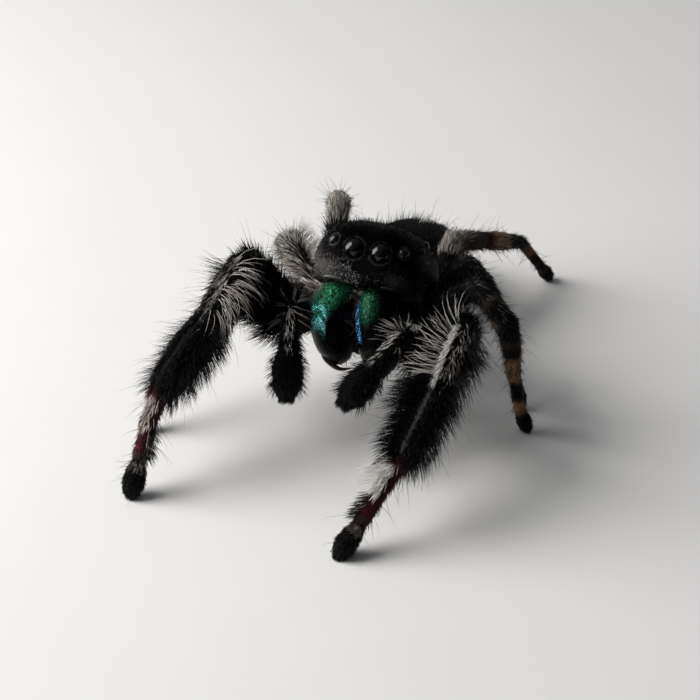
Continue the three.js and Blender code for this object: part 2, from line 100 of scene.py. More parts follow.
# Half-depth from back to belly and half-width of the bare limb, at places along each length.
THICKNESS = {
    "front": {
        "coxa": ((0, 0.26, 0.26), (1, 0.3, 0.29)),
        "femur": ((0, 0.3, 0.27), (0.3, 0.5, 0.38), (0.7, 0.53, 0.4), (1, 0.4, 0.36)),
        "patella": ((0, 0.4, 0.37), (0.5, 0.45, 0.43), (1, 0.4, 0.38)),
        "tibia": ((0, 0.39, 0.37), (0.35, 0.5, 0.43), (0.8, 0.42, 0.38), (1, 0.24, 0.24)),
        "metatarsus": ((0, 0.21, 0.21), (0.5, 0.185, 0.185), (0.85, 0.2, 0.2), (1, 0.17, 0.17)),
        "tarsus": (
            (0, 0.13, 0.13), (0.3, 0.24, 0.24), (0.62, 0.27, 0.265), (0.88, 0.2, 0.2), (1, 0.11, 0.11),
        ),
    },
    "rear": {
        "coxa": ((0, 0.22, 0.22), (1, 0.25, 0.25)),
        "femur": ((0, 0.22, 0.22), (0.4, 0.3, 0.27), (0.8, 0.28, 0.26), (1, 0.24, 0.23)),
        "patella": ((0, 0.25, 0.24), (0.5, 0.28, 0.27), (1, 0.23, 0.23)),
        "tibia": ((0, 0.23, 0.22), (0.4, 0.26, 0.24), (1, 0.18, 0.18)),
        "metatarsus": ((0, 0.165, 0.165), (0.5, 0.15, 0.15), (1, 0.15, 0.15)),
        "tarsus": ((0, 0.13, 0.13), (0.5, 0.2, 0.2), (0.85, 0.17, 0.17), (1, 0.09, 0.09)),
    },
    "palp": {
        "coxa": ((0, 0.2, 0.2), (1, 0.18, 0.18)),
        "femur": ((0, 0.17, 0.17), (0.7, 0.21, 0.2), (1, 0.2, 0.19)),
        "patella": ((0, 0.21, 0.2), (0.5, 0.25, 0.24), (1, 0.24, 0.23)),
        "tibia": ((0, 0.24, 0.23), (1, 0.29, 0.28)),
        "tarsus": ((0, 0.3, 0.29), (0.35, 0.4, 0.39), (0.7, 0.37, 0.36), (1, 0.19, 0.19)),
    },
}
# How far along its second stretch each length of a feeler ends.
PALP_SHARES = (("patella", 0.0, 0.27), ("tibia", 0.27, 0.48), ("tarsus", 0.48, 0.96))

# Of each left eye: its middle, its radius, the thickness of its dark collar, and the way it looks.
EYES = {
    "front": {"at": (0.35, -1.98, 0.8), "radius": 0.31, "collar": 0.03, "way": (0.12, -1.0, 0.02)},
    "side": {"at": (0.92, -1.88, 0.92), "radius": 0.17, "collar": 0.028, "way": (0.62, -0.78, 0.1)},
    "small": {"at": (1.3, -1.18, 1.06), "radius": 0.07, "collar": 0.025, "way": (0.9, -0.25, 0.5)},
    "rear": {"at": (1.2, -0.42, 1.21), "radius": 0.14, "collar": 0.03, "way": (0.9, 0.1, 0.5)},
}

# Carapace from the middle of the face to the rear: place along, half-width, top and lower edge.
CARAPACE = (
    (-2.13, 0.05, 0.52, 0.42), (-2.13, 0.5, 0.85, 0.12), (-2.1, 0.82, 1.05, -0.06),
    (-2.03, 1.02, 1.21, -0.17), (-1.9, 1.2, 1.34, -0.24), (-1.5, 1.45, 1.5, -0.28),
    (-0.62, 1.63, 1.6, -0.2), (0.25, 1.67, 1.5, -0.12), (0.97, 1.47, 1.16, -0.08),
    (1.55, 1.04, 0.7, -0.08), (1.92, 0.63, 0.34, -0.08), (2.05, 0.25, 0.1, -0.04),
)
# The height at which the carapace is widest, and how boxy its sections are.
CARAPACE_BEAM = 0.2
CARAPACE_BOXINESS = 2.5
UNDERBODY = {"bottom": -0.95, "half_width": 0.72, "half_length": 1.2, "top": 0.2}
ABDOMEN = {
    "front": (0, 2.22, 0.0), "rise": 16.5, "turn": 7, "length": 4.45, "half_width": 1.45,
    "half_depth": 1.2, "fullest": 0.88, "blunt": 0.54, "inset": 0.04,
}

# Middle, half-width and half-depth of the left chelicera, downwards, before its swing.
CHELICERA = (
    (0.5, -1.93, -0.12, 0.3, 0.26), (0.53, -1.97, -0.28, 0.48, 0.44), (0.6, -2.06, -0.65, 0.57, 0.565),
    (0.64, -2.13, -1.1, 0.6, 0.61), (0.63, -2.19, -1.58, 0.57, 0.56), (0.61, -2.2, -2.0, 0.45, 0.44),
    (0.6, -2.18, -2.25, 0.16, 0.16),
)
# How far both jaws swing to the left for each millimetre below a height, and the left fang's path.
JAW_SWING = 0.3
JAW_SWING_START = -0.9
FANG = ((0.88, -2.18, -1.9), (0.8, -2.28, -2.16), (0.5, -2.3, -2.35), (0.14, -2.2, -2.27))


# ------------------------------------------------------------------ colours of skin and coat

COLOURS = {
    "black": (0.0014, 0.0013, 0.0015),
    "soot": (0.006, 0.0054, 0.0054),
    "grey": (0.11, 0.10, 0.094),
    "silver": (0.43, 0.395, 0.36),
    "ash": (0.4, 0.39, 0.38),
    "white": (0.78, 0.745, 0.70),
    "tan": (0.255, 0.147, 0.085),
    "sand": (0.52, 0.4, 0.29),
    "snow": (0.93, 0.91, 0.88),
    "umber": (0.034, 0.021, 0.015),
    "russet": (0.12, 0.05, 0.03),
    "maroon": (0.04, 0.007, 0.009),
    "pink": (0.5, 0.33, 0.30),
    "bottle_green": (0.005, 0.07, 0.042),
    "leaf_green": (0.016, 0.1, 0.04),
    # teal and blue go on the jaws: teal glints, partly their own colour, and a blue painted highlight
    "teal": (0.2, 0.78, 0.76),
    "blue": (0.12, 0.36, 0.75),
    "night": (0.0005, 0.0005, 0.0007),
}
# Bands along each length: the place where each colour starts.
BANDS = {
    ("front", "metatarsus"): ((0, "maroon"), (0.86, "umber"), (0.95, "black")),
    ("front", "tibia"): ((0, "black"), (0.975, "maroon")),
    ("front", "tarsus"): ((0, "umber"), (0.2, "black")),
    ("leg2", "femur"): ((0, "black"),),
    ("leg2", "patella"): ((0, "soot"), (0.35, "umber"), (0.5, "black")),
    ("leg2", "tibia"): ((0, "black"), (0.34, "umber"), (0.42, "black"), (0.68, "tan")),
    ("leg2", "metatarsus"): ((0, "tan"), (0.2, "black"), (0.66, "umber"), (0.74, "tan")),
    ("leg2", "tarsus"): ((0, "russet"), (0.14, "black")),
    ("leg3", "patella"): ((0, "soot"), (0.5, "black")),
    ("rear", "femur"): ((0, "black"), (0.85, "soot")),
    ("rear", "patella"): ((0, "umber"), (0.3, "soot"), (0.6, "umber")),
    ("rear", "tibia"): ((0, "umber"), (0.1, "black"), (0.18, "russet"), (0.27, "tan"), (0.6, "black")),
    ("rear", "metatarsus"): ((0, "black"), (0.1, "russet"), (0.45, "soot")),
    ("rear", "tarsus"): ((0, "umber"), (0.3, "black")),
}
BAND_EDGE = 0.035
# Bare stripes along the back, whose grey is a painted sheen: middle turn, how far to each side of it, and
# how bright a grey.
STRIPES = {("leg1_right", "tibia"): (8, 5, 0.06), ("leg1_left", "tibia"): (36, 7, 0.35)}


def colour(name):
    return np.array(COLOURS[name])


def banded(limb, place):
    """Colour of the markings at places along a length of limb."""
    own = (limb.owner.split("_")[0], limb.segment)
    bands = BANDS.get(own) or BANDS.get((limb.group, limb.segment), ((0, "black"),))
    stops = [0.0]
    tones = [colour(bands[0][1])]
    for (start, name), (_, before) in zip(bands[1:], bands):
        stops += [start - BAND_EDGE, start + BAND_EDGE]
        tones += [colour(before), colour(name)]
    tones = np.array(tones)
    return np.stack([np.interp(place, stops, tones[:, i]) for i in range(3)], axis=-1)


# ------------------------------------------------------------------ small geometry helpers

def unit(vectors):
    return vectors / np.maximum(np.linalg.norm(vectors, axis=-1, keepdims=True), 1e-12)


def rotation(axis, degrees):
    """A rotation about x, y or z, which are 0, 1 and 2."""
    c, s = math.cos(math.radians(degrees)), math.sin(math.radians(degrees))
    first, second = (axis + 1) % 3, (axis + 2) % 3
    matrix = np.eye(3)
    matrix[first, first] = matrix[second, second] = c
    matrix[second, first], matrix[first, second] = s, -s
    return matrix


def spokes(axis, turn):
    """Directions around an axis, at turns in radians."""
    first = unit(np.cross(axis, (0.0, 0.3, 1.0)))
    return np.cos(turn)[:, None] * first + np.sin(turn)[:, None] * np.cross(axis, first)


def mirrored(point, side):
    return np.array((point[0] * side, point[1], point[2]), float)


def smooth_table(rows, steps):
    """Catmull-Rom points through the rows of a table, at even steps of its row number from 0 to 1."""
    rows = np.array(rows, float)
    padded = np.vstack((2 * rows[0] - rows[1], rows, 2 * rows[-1] - rows[-2]))
    at = np.clip(np.asarray(steps, float), 0, 1) * (len(rows) - 1)
    first = np.minimum(at.astype(int), len(rows) - 2)
    t = (at - first)[..., None]
    p0, p1, p2, p3 = (padded[first + i] for i in range(4))
    second, third = 2 * p0 - 5 * p1 + 4 * p2 - p3, 3 * p1 - p0 - 3 * p2 + p3
    return 0.5 * (2 * p1 + (p2 - p0) * t + second * t**2 + third * t**3)


def eased(places, table):
    """Columns of a table of (place, value, ...) at the given places, eased between its rows."""
    table = np.array(table, float)
    places = np.clip(places, table[0, 0], table[-1, 0])
    row = np.clip(np.searchsorted(table[:, 0], places, side="right") - 1, 0, len(table) - 2)
    low, high = table[row], table[row + 1]
    t = (places - low[..., 0]) / (high[..., 0] - low[..., 0])
    t = (t * t * (3 - 2 * t))[..., None]
    return low[..., 1:] * (1 - t) + high[..., 1:] * t


POSE = rotation(0, -BODY["pitch"]) @ rotation(1, -BODY["roll"])
_eye_low, _eye_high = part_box("eye_front_left")
# The solids have the origin under the middle of their box, so the whole stance is moved there.
SHIFT = np.array((_eye_low + _eye_high) / 2) / MM - POSE @ np.array(EYES["front"]["at"])
SHIFT[2] = 0.0


def placed(points):
    """Points of the body's frame in the part's frame."""
    return np.asarray(points) @ POSE.T + (0, 0, BODY["height"]) + SHIFT


def to_body(points):
    """Points of the part's frame in the body's frame."""
    return (np.asarray(points) - SHIFT - (0, 0, BODY["height"])) @ POSE


# ------------------------------------------------------------------ surfaces of the spider

class Surface:
    """A closed skin with a place from 0 to 1 along it and a turn in degrees around it."""

    step = 1e-3

    def point(self, place, turn):
        raise NotImplementedError

    def frame(self, place, turn):
        """Points, outward normals, and the directions along and around."""
        here = self.point(place, turn)
        along = self.point(place + self.step, turn) - self.point(place - self.step, turn)
        around = self.point(place, turn + 1) - self.point(place, turn - 1)
        along, around = unit(along), unit(around)
        normal = unit(np.cross(along, around))
        middle = self.point(place, turn + 180)
        normal *= np.sign(((here - middle) * normal).sum(-1, keepdims=True))
        return here, normal, along, around

    def rings(self, count, sides):
        places = self.ring_places(count)
        turns = np.arange(sides) * 360 / sides
        grid_place, grid_turn = np.meshgrid(places, turns, indexing="ij")
        return self.point(grid_place, grid_turn)

    def ring_places(self, count):
        """Places that lie closer together towards the ends."""
        return 0.5 - 0.4999 * np.cos(np.linspace(0, math.pi, count))


class Limb(Surface):
    """One length of a leg or feeler. A turn of 0 is its back, 90 faces forward, 180 is its belly."""

    def __init__(self, owner, group, segment, ends, back, number, row):
        self.owner, self.group, self.segment = owner, group, segment
        self.start, self.end = (np.array(p, float) for p in ends)
        self.length = float(np.linalg.norm(self.end - self.start))
        self.along = (self.end - self.start) / self.length
        self.back = unit(back - self.along * (back @ self.along))
        side = -1 if "right" in owner else 1
        self.fore = np.cross(self.along, self.back) * side
        self.table = THICKNESS[group][segment]
        # how far its rounded ends reach, as a share of their radius
        self.cap = 0.375 if segment == "tarsus" else 0.75
        self.number, self.row = number, row

    def point(self, place, turn):
        place, turn = np.broadcast_arrays(np.asarray(place, float), np.asarray(turn, float))
        radii = eased(place, self.table)
        reach = self.cap * radii[..., 0] / self.length
        beyond = np.clip(np.maximum(-place, place - 1) / reach, 0, 0.999)
        radii = radii * np.sqrt(1 - beyond**2)[..., None]
        angle = np.radians(turn)
        offset = self.back * (np.cos(angle) * radii[..., 0])[..., None]
        offset = offset + self.fore * (np.sin(angle) * radii[..., 1])[..., None]
        return self.start + self.along * (place * self.length)[..., None] + offset

    def ring_places(self, count):
        first, last = eased(np.array((0.0, 1.0)), self.table)[:, 0] * self.cap / self.length
        bend = np.sin(np.linspace(0, math.pi / 2, 5))
        middle = np.linspace(0, 1, count)[1:-1]
        return np.concatenate((-first * bend[::-1] * 0.998, middle, 1 + last * bend * 0.998))

    def area(self):
        places = np.linspace(0, 1, 20)
        return float(np.mean(eased(places, self.table).mean(-1)) * 2 * math.pi * self.length)

    def unwrapped(self, place, turn):
        """Each limb is a row of the unwrap and each of its lengths a sixth of that row."""
        return np.stack(((self.number + place) / 6, (self.row + turn / 360) / UNWRAP_ROWS), -1)

    def nearness(self, points):
        """Distance from the middle line as a share of the thickness, with place and turn there."""
        rel = points - self.start
        place = rel @ self.along / self.length
        radii = eased(np.clip(place, 0, 1), self.table)
        back = rel @ self.back
        fore = rel @ self.fore
        beyond = (place - np.clip(place, 0, 1)) * self.length
        share = np.sqrt((back / radii[:, 0]) ** 2 + (fore / radii[:, 1]) ** 2 + (beyond / radii[:, 0]) ** 2)
        return share, np.clip(place, 0, 1), np.degrees(np.arctan2(fore, back)) % 360


class Shell(Surface):
    """A part of the body that is given by a function of place and turn in the body's frame, with its size
    in square millimetres, its row of the unwrap and how many rows it takes."""

    def __init__(self, function, row, size, rows=1):
        self.function, self.row, self.size, self.rows = function, row, size, rows

    def point(self, place, turn):
        place, turn = np.broadcast_arrays(np.asarray(place, float), np.asarray(turn, float))
        return placed(self.function(np.clip(place, 0, 1), turn))

    def area(self):
        return self.size

    def unwrapped(self, place, turn):
        return np.stack((place, (self.row + turn / 360 * self.rows) / UNWRAP_ROWS), -1)


def carapace_point(place, turn):
    y, half_width, top, low = np.moveaxis(smooth_table(CARAPACE, place), -1, 0)
    angle = np.radians(turn)
    across, rise = np.cos(angle), np.sin(angle)
    power = 2 / CARAPACE_BOXINESS
    middle = (top + low) / 2
    widest = np.minimum(CARAPACE_BEAM, middle)
    widest = np.where(place < 0.25, middle + (widest - middle) * np.clip(place / 0.25, 0, 1), widest)
    x = np.sign(across) * np.abs(across) ** power * half_width
    z = widest + np.sign(rise) * np.abs(rise) ** power * np.where(rise > 0, top - widest, widest - low)
    return np.stack((x, y, z), -1)


ABDOMEN_TURN = rotation(2, -ABDOMEN["turn"]) @ rotation(0, ABDOMEN["rise"])


def abdomen_point(place, turn):
    share = np.sin(math.pi * np.clip(place, 0.0005, 0.9995) ** ABDOMEN["fullest"]) ** ABDOMEN["blunt"]
    angle = np.radians(turn)
    x = np.cos(angle) * share * ABDOMEN["half_width"]
    z = np.sin(angle) * share * ABDOMEN["half_depth"]
    y = ABDOMEN["inset"] + place * (ABDOMEN["length"] - 2 * ABDOMEN["inset"])
    return np.stack((x, y, z), -1) @ ABDOMEN_TURN.T + np.array(ABDOMEN["front"])


def underbody_point(place, turn):
    angle = np.radians(turn)
    share = np.sqrt(np.clip(1 - (2 * place - 1) ** 4, 0, 1))
    x = np.cos(angle) * share * UNDERBODY["half_width"]
    middle = (UNDERBODY["top"] + UNDERBODY["bottom"]) / 2
    z = middle + np.sin(angle) * share * (UNDERBODY["top"] - UNDERBODY["bottom"]) / 2
    y = (2 * place - 1) * UNDERBODY["half_length"]
    return np.stack((x, y, z), -1)


def jaw_swing(height):
    """How far both jaws have swung to the left at a height."""
    return JAW_SWING * np.maximum(0, JAW_SWING_START - height)


def chelicera_surface(side, row):
    def point(place, turn):
        x, y, z, half_width, half_depth = np.moveaxis(smooth_table(CHELICERA, place), -1, 0)
        angle = np.radians(turn)
        inner = np.where(np.cos(angle) < 0, np.minimum(half_width, x - 0.012), half_width)
        across = (x + np.cos(angle) * inner) * side + jaw_swing(z)
        return np.stack((across, y - np.sin(angle) * half_depth, z), -1)

    return Shell(point, row, 6.5)


def direction(side, heading, rise, tilt=0.0):
    """Direction of a length, and that of its back, for a heading, a rise and a tilted plane."""
    heading, rise, tilt = (math.radians(v) for v in (heading, rise, tilt))
    ahead = np.array((side * math.sin(heading), -math.cos(heading), 0))
    outward = np.array((side * math.cos(heading), math.sin(heading), 0))
    lift = np.array((0, 0, math.cos(tilt))) + outward * math.sin(tilt)
    return ahead * math.cos(rise) + lift * math.sin(rise), lift * math.cos(rise) - ahead * math.sin(rise)


def leg_lengths(word, pair, heading, tilt, rises, turned, row):
    side = SIDES[word]
    group = "front" if pair == 1 else "rear"
    owner = f"leg{pair}_{word}"
    joint = placed(mirrored(HIP[pair], side))
    root = placed(mirrored(COXA_ROOT[pair], side))
    _, back = direction(side, heading, 0, tilt)
    lengths = [Limb(owner, group, "coxa", (root, joint), back, 0, row)]
    for i, (segment, rise) in enumerate(zip(SEGMENTS, rises)):
        way, back = direction(side, heading + (turned if i >= 2 else 0), rise, tilt)
        last = segment == "tarsus"
        length = (joint[2] - FOOT_CLEARANCE) / -way[2] if last else LENGTH[pair][i]
        end = joint + way * length
        lengths.append(Limb(owner, group, segment, (joint, end), back, i + 1, row))
        joint = end
    return lengths


def palp_lengths(word, arm, hand, row):
    side = SIDES[word]
    owner = f"palp_{word}"
    root = placed(mirrored(PALP["root"], side))
    hip = placed(mirrored(PALP["hip"], side))
    way, back = direction(side, *arm)
    knee = hip + way * PALP["to_knee"]
    lengths = [Limb(owner, "palp", "coxa", (root, hip), back, 0, row)]
    lengths.append(Limb(owner, "palp", "femur", (hip, knee), back, 1, row))
    way, back = direction(side, *hand)
    for i, (segment, start, end) in enumerate(PALP_SHARES):
        ends = (knee + way * PALP["to_tip"] * start, knee + way * PALP["to_tip"] * end)
        lengths.append(Limb(owner, "palp", segment, ends, back, i + 2, row))
    return lengths


LIMBS = []
for _row, _stance in enumerate(STANCE):
    LIMBS += leg_lengths(*_stance, _row)
for _row, _stance in enumerate(PALP_STANCE):
    LIMBS += palp_lengths(*_stance, len(STANCE) + _row)
CARAPACE_SHELL = Shell(carapace_point, 0, 34.0, 10)
ABDOMEN_SHELL = Shell(abdomen_point, 10, 27.0, 3)
UNDERBODY_SHELL = Shell(underbody_point, 13, 8.0)
CHELICERAE = {word: chelicera_surface(side, 14 + i) for i, (word, side) in enumerate(SIDES.items())}


# ------------------------------------------------------------------ meshes

def lofted(points):
    """Vertices and faces of a closed skin over rings, with a fan at each end."""
    count, sides = points.shape[:2]
    vertices = list(points.reshape(-1, 3))
    faces = []
    for r in range(count - 1):
        for s in range(sides):
            a, b = r * sides + s, r * sides + (s + 1) % sides
            faces.append((a, b, b + sides, a + sides))
    for first, flip in ((0, True), ((count - 1) * sides, False)):
        vertices.append(points.reshape(-1, 3)[first:first + sides].mean(0))
        hub = len(vertices) - 1
        for s in range(sides):
            a, b = first + s, first + (s + 1) % sides
            faces.append((b, a, hub) if flip else (a, b, hub))
    return np.array(vertices), faces


def joined(pieces):
    vertices, faces, first = [], [], 0
    for points, polygons in pieces:
        vertices.append(points)
        faces += [tuple(i + first for i in polygon) for polygon in polygons]
        first += len(points)
    return np.vstack(vertices), faces


def ball(centre, radii, rings=24, sides=32):
    polar = np.linspace(0.02, math.pi - 0.02, rings)[:, None]
    angle = (np.arange(sides) * 2 * math.pi / sides)[None, :]
    x, y, z = np.sin(polar) * np.cos(angle), np.sin(polar) * np.sin(angle), -np.cos(polar) + 0 * angle
    shape = np.stack((x, y, z), -1)
    return lofted(shape * np.array(radii) + np.array(centre))


def collar(centre, axis, radius, thickness, sides=40, around=14):
    """A ring around an eye."""
    axis = unit(np.array(axis, float))
    small = np.arange(around) * 2 * math.pi / around
    spoke = spokes(axis, np.arange(sides) * 2 * math.pi / sides)
    out = radius + thickness * np.cos(small)
    points = spoke[:, None, :] * out[None, :, None] + axis * (thickness * np.sin(small))[None, :, None]
    points = points.reshape(-1, 3) + np.array(centre)
    faces = []
    for i in range(sides):
        for j in range(around):
            a, b = i * around + j, i * around + (j + 1) % around
            c, d = (i + 1) % sides * around + (j + 1) % around, (i + 1) % sides * around + j
            faces.append((a, b, c, d))
    return points, faces


def tube(path, radii, sides=16):
    """A closed tube along points, with a radius at each."""
    path = np.array(path, float)
    ways = unit(np.gradient(path, axis=0))
    across = unit(np.cross(ways[0], (0.1, 0.2, 1.0)))
    rings = []
    for point, way, radius in zip(path, ways, radii):
        across = unit(across - way * (across @ way))
        other = np.cross(way, across)
        angle = np.arange(sides) * 2 * math.pi / sides
        rings.append(point + radius * (np.cos(angle)[:, None] * across + np.sin(angle)[:, None] * other))
    return lofted(np.array(rings))


def linked(name, data):
    """An object in the scene."""
    piece = bpy.data.objects.new(name, data)
    bpy.context.scene.collection.objects.link(piece)
    return piece


def make_object(name, vertices, faces, smooth=True):
    """An object in metres from millimetre points."""
    mesh = bpy.data.meshes.new(name)
    mesh.from_pydata((np.asarray(vertices) * MM).tolist(), [], faces)
    mesh.validate()
    turned_outward(mesh)
    if smooth:
        mesh.shade_smooth()
    return linked(name, mesh)


def turned_outward(mesh):
    work = bmesh.new()
    work.from_mesh(mesh)
    bmesh.ops.recalc_face_normals(work, faces=work.faces)
    work.to_mesh(mesh)
    work.free()


def paint(mesh, colours):
    """Colours of the points, which the materials read by the name paint."""
    layer = mesh.color_attributes.new("paint", "FLOAT_COLOR", "POINT")
    full = np.ones((len(mesh.vertices), 4), np.float32)
    full[:, :3] = colours
    layer.data.foreach_set("color", full.ravel())


def settle(piece, material, slot_name, *nodes):
    """Gives a piece its finish, says what it rides on and hides the parts that it replaces. Its slot name
    is not used.
    """
    piece.data.materials.append(material)
    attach(piece, BODY_NAME)
    if nodes:
        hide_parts(*nodes)


# ------------------------------------------------------------------ hairs

# Where hairs grow: points and normals of the skin, its directions along and around, the place along the
# limb, and the place on the unwrap.
Roots = namedtuple("Roots", "points normals along around place uv")
PIECE_TRIANGLES = 185000
# Sides of a hair, how deep its root goes into the skin, how near to the floor it may come, and the reach
# of its patch of the unwrap.
HAIR_SIDES = 3
ROOT_DEPTH = 0.02
LOWEST_HAIR = 0.004
PATCH = 0.0015


def ring_shares(bends):
    """The share of a hair's length at each of its points, the last of which is its tip."""
    return np.append(np.repeat(np.arange(bends) / bends, HAIR_SIDES), 1.0)


def hair_pattern(bends):
    """Corners of a hair's polygons, how many each has, and where its points lie in its patch."""
    sides, tip = range(HAIR_SIDES), HAIR_SIDES * bends
    polygons = [tuple(reversed(sides))]
    for low in range(0, tip - HAIR_SIDES, HAIR_SIDES):
        high = low + HAIR_SIDES
        for k in sides:
            beside = (k + 1) % HAIR_SIDES
            polygons.append((low + k, low + beside, high + beside, high + k))
    last = tip - HAIR_SIDES
    polygons += [(last + k, last + (k + 1) % HAIR_SIDES, tip) for k in sides]
    level = 1 - ring_shares(bends)
    angle = np.append(np.tile(2 * math.pi * np.arange(HAIR_SIDES) / HAIR_SIDES, bends), 0.0)
    spread = PATCH * np.stack((level * np.cos(angle), level * np.sin(angle)), -1)
    return np.concatenate(polygons), [len(polygon) for polygon in polygons], spread


def mesh_from_corners(name, vertices, corners, sizes, maps):
    """A mesh from arrays, in metres from millimetre points, with its unwrap."""
    mesh = bpy.data.meshes.new(name)
    mesh.vertices.add(len(vertices))
    mesh.vertices.foreach_set("co", (vertices * MM).astype(np.float32).ravel())
    mesh.loops.add(len(corners))
    mesh.loops.foreach_set("vertex_index", corners.astype(np.int32))
    mesh.polygons.add(len(sizes))
    starts = np.concatenate(([0], np.cumsum(sizes)[:-1])).astype(np.int32)
    mesh.polygons.foreach_set("loop_start", starts)
    mesh.update(calc_edges=True)
    layer = mesh.uv_layers.new(name="OFBake")
    layer.uv.foreach_set("vector", np.clip(maps, 0, 1).astype(np.float32).ravel())
    mesh.shade_smooth()
    return mesh


class Coat:
    """Many solid hairs that become one piece, or a few when they are very many."""

    def __init__(self, name, seed):
        self.name = name
        self.rng = np.random.default_rng(seed)
        self.batches = []

    def grow(
        self, roots, length, width, lift, lean, sway, tone, tip=None, bends=2, ragged=0.25, lie=None, curl=0
    ):
        """Adds one hair at each root. Lift is its angle from the skin at the root and at the tip, lean
        turns it from the skin's direction along, or from lie, towards the one around, curl adds to the
        lean towards the tip, and sway makes all of it uneven. Tip is its colour there, bends says how many
        straight stretches it has, and ragged makes lengths uneven."""
        rng, count = self.rng, len(roots.points)
        if not count:
            return
        length = length * coat_length() * (1 + ragged * rng.uniform(-1, 1, count))
        width = width * rng.uniform(0.8, 1.2, count)
        lean = np.radians(lean + sway * rng.normal(0, 1, count))
        start = np.radians(lift[0] + sway * 0.6 * rng.normal(0, 1, count))
        end = np.radians(lift[1] + sway * 0.6 * rng.normal(0, 1, count))
        start = np.clip(start, 0.05, 1.5)
        base = roots.along if lie is None else lie
        base = unit(base - roots.normals * (base * roots.normals).sum(-1, keepdims=True))
        other = np.cross(roots.normals, base)
        towards = np.sign((other * roots.around).sum(-1, keepdims=True))
        other = other * np.where(towards == 0, 1, towards)
        curl = np.radians(curl) * rng.uniform(0.5, 1.5, count)
        centres = [roots.points - roots.normals * ROOT_DEPTH]
        ways = []
        for i in range(bends):
            share = (i + 0.5) / bends
            turned = (lean + curl * share)[:, None]
            way = base * np.cos(turned) + other * np.sin(turned)
            angle = (start + (end - start) * share)[:, None]
            ways.append(way * np.cos(angle) + roots.normals * np.sin(angle))
            centres.append(centres[-1] + ways[-1] * (length / bends)[:, None])
        sections = []
        for i in range(bends):
            along = ways[i] if i == 0 else unit(ways[i - 1] + ways[i])
            across = unit(np.cross(along, roots.normals + along * 0.01))
            over = np.cross(across, along)
            radius = width / 2 * (1 - 0.75 * (i / bends) ** 1.5)
            for k in range(HAIR_SIDES):
                angle = 2 * math.pi * k / HAIR_SIDES
                offset = across * math.cos(angle) + over * math.sin(angle)
                sections.append(centres[i] + offset * radius[:, None])
        sections.append(centres[-1])
        points = np.stack(sections, 1)
        points[..., 2] = np.maximum(points[..., 2], LOWEST_HAIR)
        ending = np.broadcast_to(tone if tip is None else tip, (count, 3))
        tone = np.broadcast_to(tone, (count, 3)) * (1 + 0.22 * rng.uniform(-1, 1, (count, 1)))
        share = ring_shares(bends)[:, None]
        tones = tone[:, None] * (1 - share) + ending[:, None] * share
        self.batches.append((points, roots.uv, tones, bends))

    def finish(self, slot_name, material):
        """Makes the coat as pieces that each stay well under two hundred thousand triangles."""
        groups, room = [[]], 0
        for batch in self.batches:
            points, _, _, bends = batch
            triangles = len(points) * (6 * bends - 2)
            if room + triangles > PIECE_TRIANGLES and groups[-1]:
                groups.append([])
                room = 0
            groups[-1].append(batch)
            room += triangles
        for number, batches in enumerate(groups, 1):
            name = self.name if len(groups) == 1 else f"{self.name}_{number}"
            self.piece(name, batches, slot_name, material)

    def piece(self, name, batches, slot_name, material):
        """A piece, with the patch of each hair at its root's place on the unwrapped skin."""
        low = np.min([uv.min(0) for _, uv, _, _ in batches], 0)
        high = np.max([uv.max(0) for _, uv, _, _ in batches], 0)
        vertices, tones, corners, sizes, maps = [], [], [], [], []
        first = 0
        for points, uv, shades, bends in batches:
            count, size = points.shape[:2]
            pattern, corner_counts, spread = hair_pattern(bends)
            corners.append((np.arange(count)[:, None] * size + pattern + first).ravel())
            sizes.append(np.tile(corner_counts, count))
            uv = 0.01 + 0.98 * (uv - low) / np.maximum(high - low, 1e-9)
            maps.append((uv[:, None] + spread)[:, pattern].reshape(-1, 2))
            vertices.append(points.reshape(-1, 3))
            tones.append(shades.reshape(-1, 3))
            first += count * size
        sizes = np.concatenate(sizes)
        mesh = mesh_from_corners(name, np.vstack(vertices), np.concatenate(corners), sizes, np.vstack(maps))
        paint(mesh, np.vstack(tones))
        print(f"{name}: {int((sizes - 2).sum())} triangles")
        settle(linked(name, mesh), material, slot_name)


# Rows of the unwrap: one for each limb, and six more for the body and the jaws.
UNWRAP_ROWS = len(STANCE) + len(PALP_STANCE) + 6
# The faces of the skin, once it is made, for bringing roots onto it.
_skin = {}


def chosen_roots(roots, chosen):
    return Roots(*(part[chosen] for part in roots))


def on_skin(roots, reach=0.16, least_agreement=0.35):
    """The roots brought onto the skin. Those that lie inside another part are dropped."""
    tree = _skin["tree"]
    points, normals = roots.points.copy(), roots.normals.copy()
    keep = np.zeros(len(points), bool)
    for i, point in enumerate(roots.points):
        found, normal, _, _ = tree.find_nearest(Vector(point), reach)
        if found is None:
            continue
        normal = np.array(normal)
        if normal @ normals[i] < least_agreement:
            continue
        keep[i] = True
        points[i] = found
        normals[i] = normals[i] * 0.6 + normal * 0.4
    return chosen_roots(roots._replace(points=points, normals=unit(normals)), keep)


def away_from(turn, middle):
    """How far turns lie from a middle turn, in degrees."""
    return np.abs((turn - middle + 180) % 360 - 180)


def scattered(coat, surface, per_mm2, along=(0, 1), around=None, keep=None, snap=True, spare=None):
    """Random roots on a surface. Around is a middle turn and how far to each side of it, with fewer
    roots towards the edges, spare is the same for a bare stripe, and keep is a test in the body's
    frame."""
    rng = coat.rng
    count = int(per_mm2 * surface.area() * (along[1] - along[0]) * coat_density())
    place = rng.uniform(*along, count)
    turn = rng.uniform(0, 360, count)
    wanted = np.ones(count, bool)
    if around is not None:
        wanted &= away_from(turn, around[0]) < around[1] * (1 - 0.35 * rng.random(count))
    if spare is not None:
        wanted &= away_from(turn, spare[0]) > spare[1] * rng.uniform(0.7, 1.3, count)
    place, turn = place[wanted], turn[wanted]
    points, normals, ahead, sideways = surface.frame(place, turn)
    roots = Roots(points, normals, ahead, sideways, place, surface.unwrapped(place, turn))
    if keep is not None:
        roots = chosen_roots(roots, keep(to_body(points)))
    return on_skin(roots) if snap else roots


def coat_density():
    return bpy.context.scene.spider_coat.density


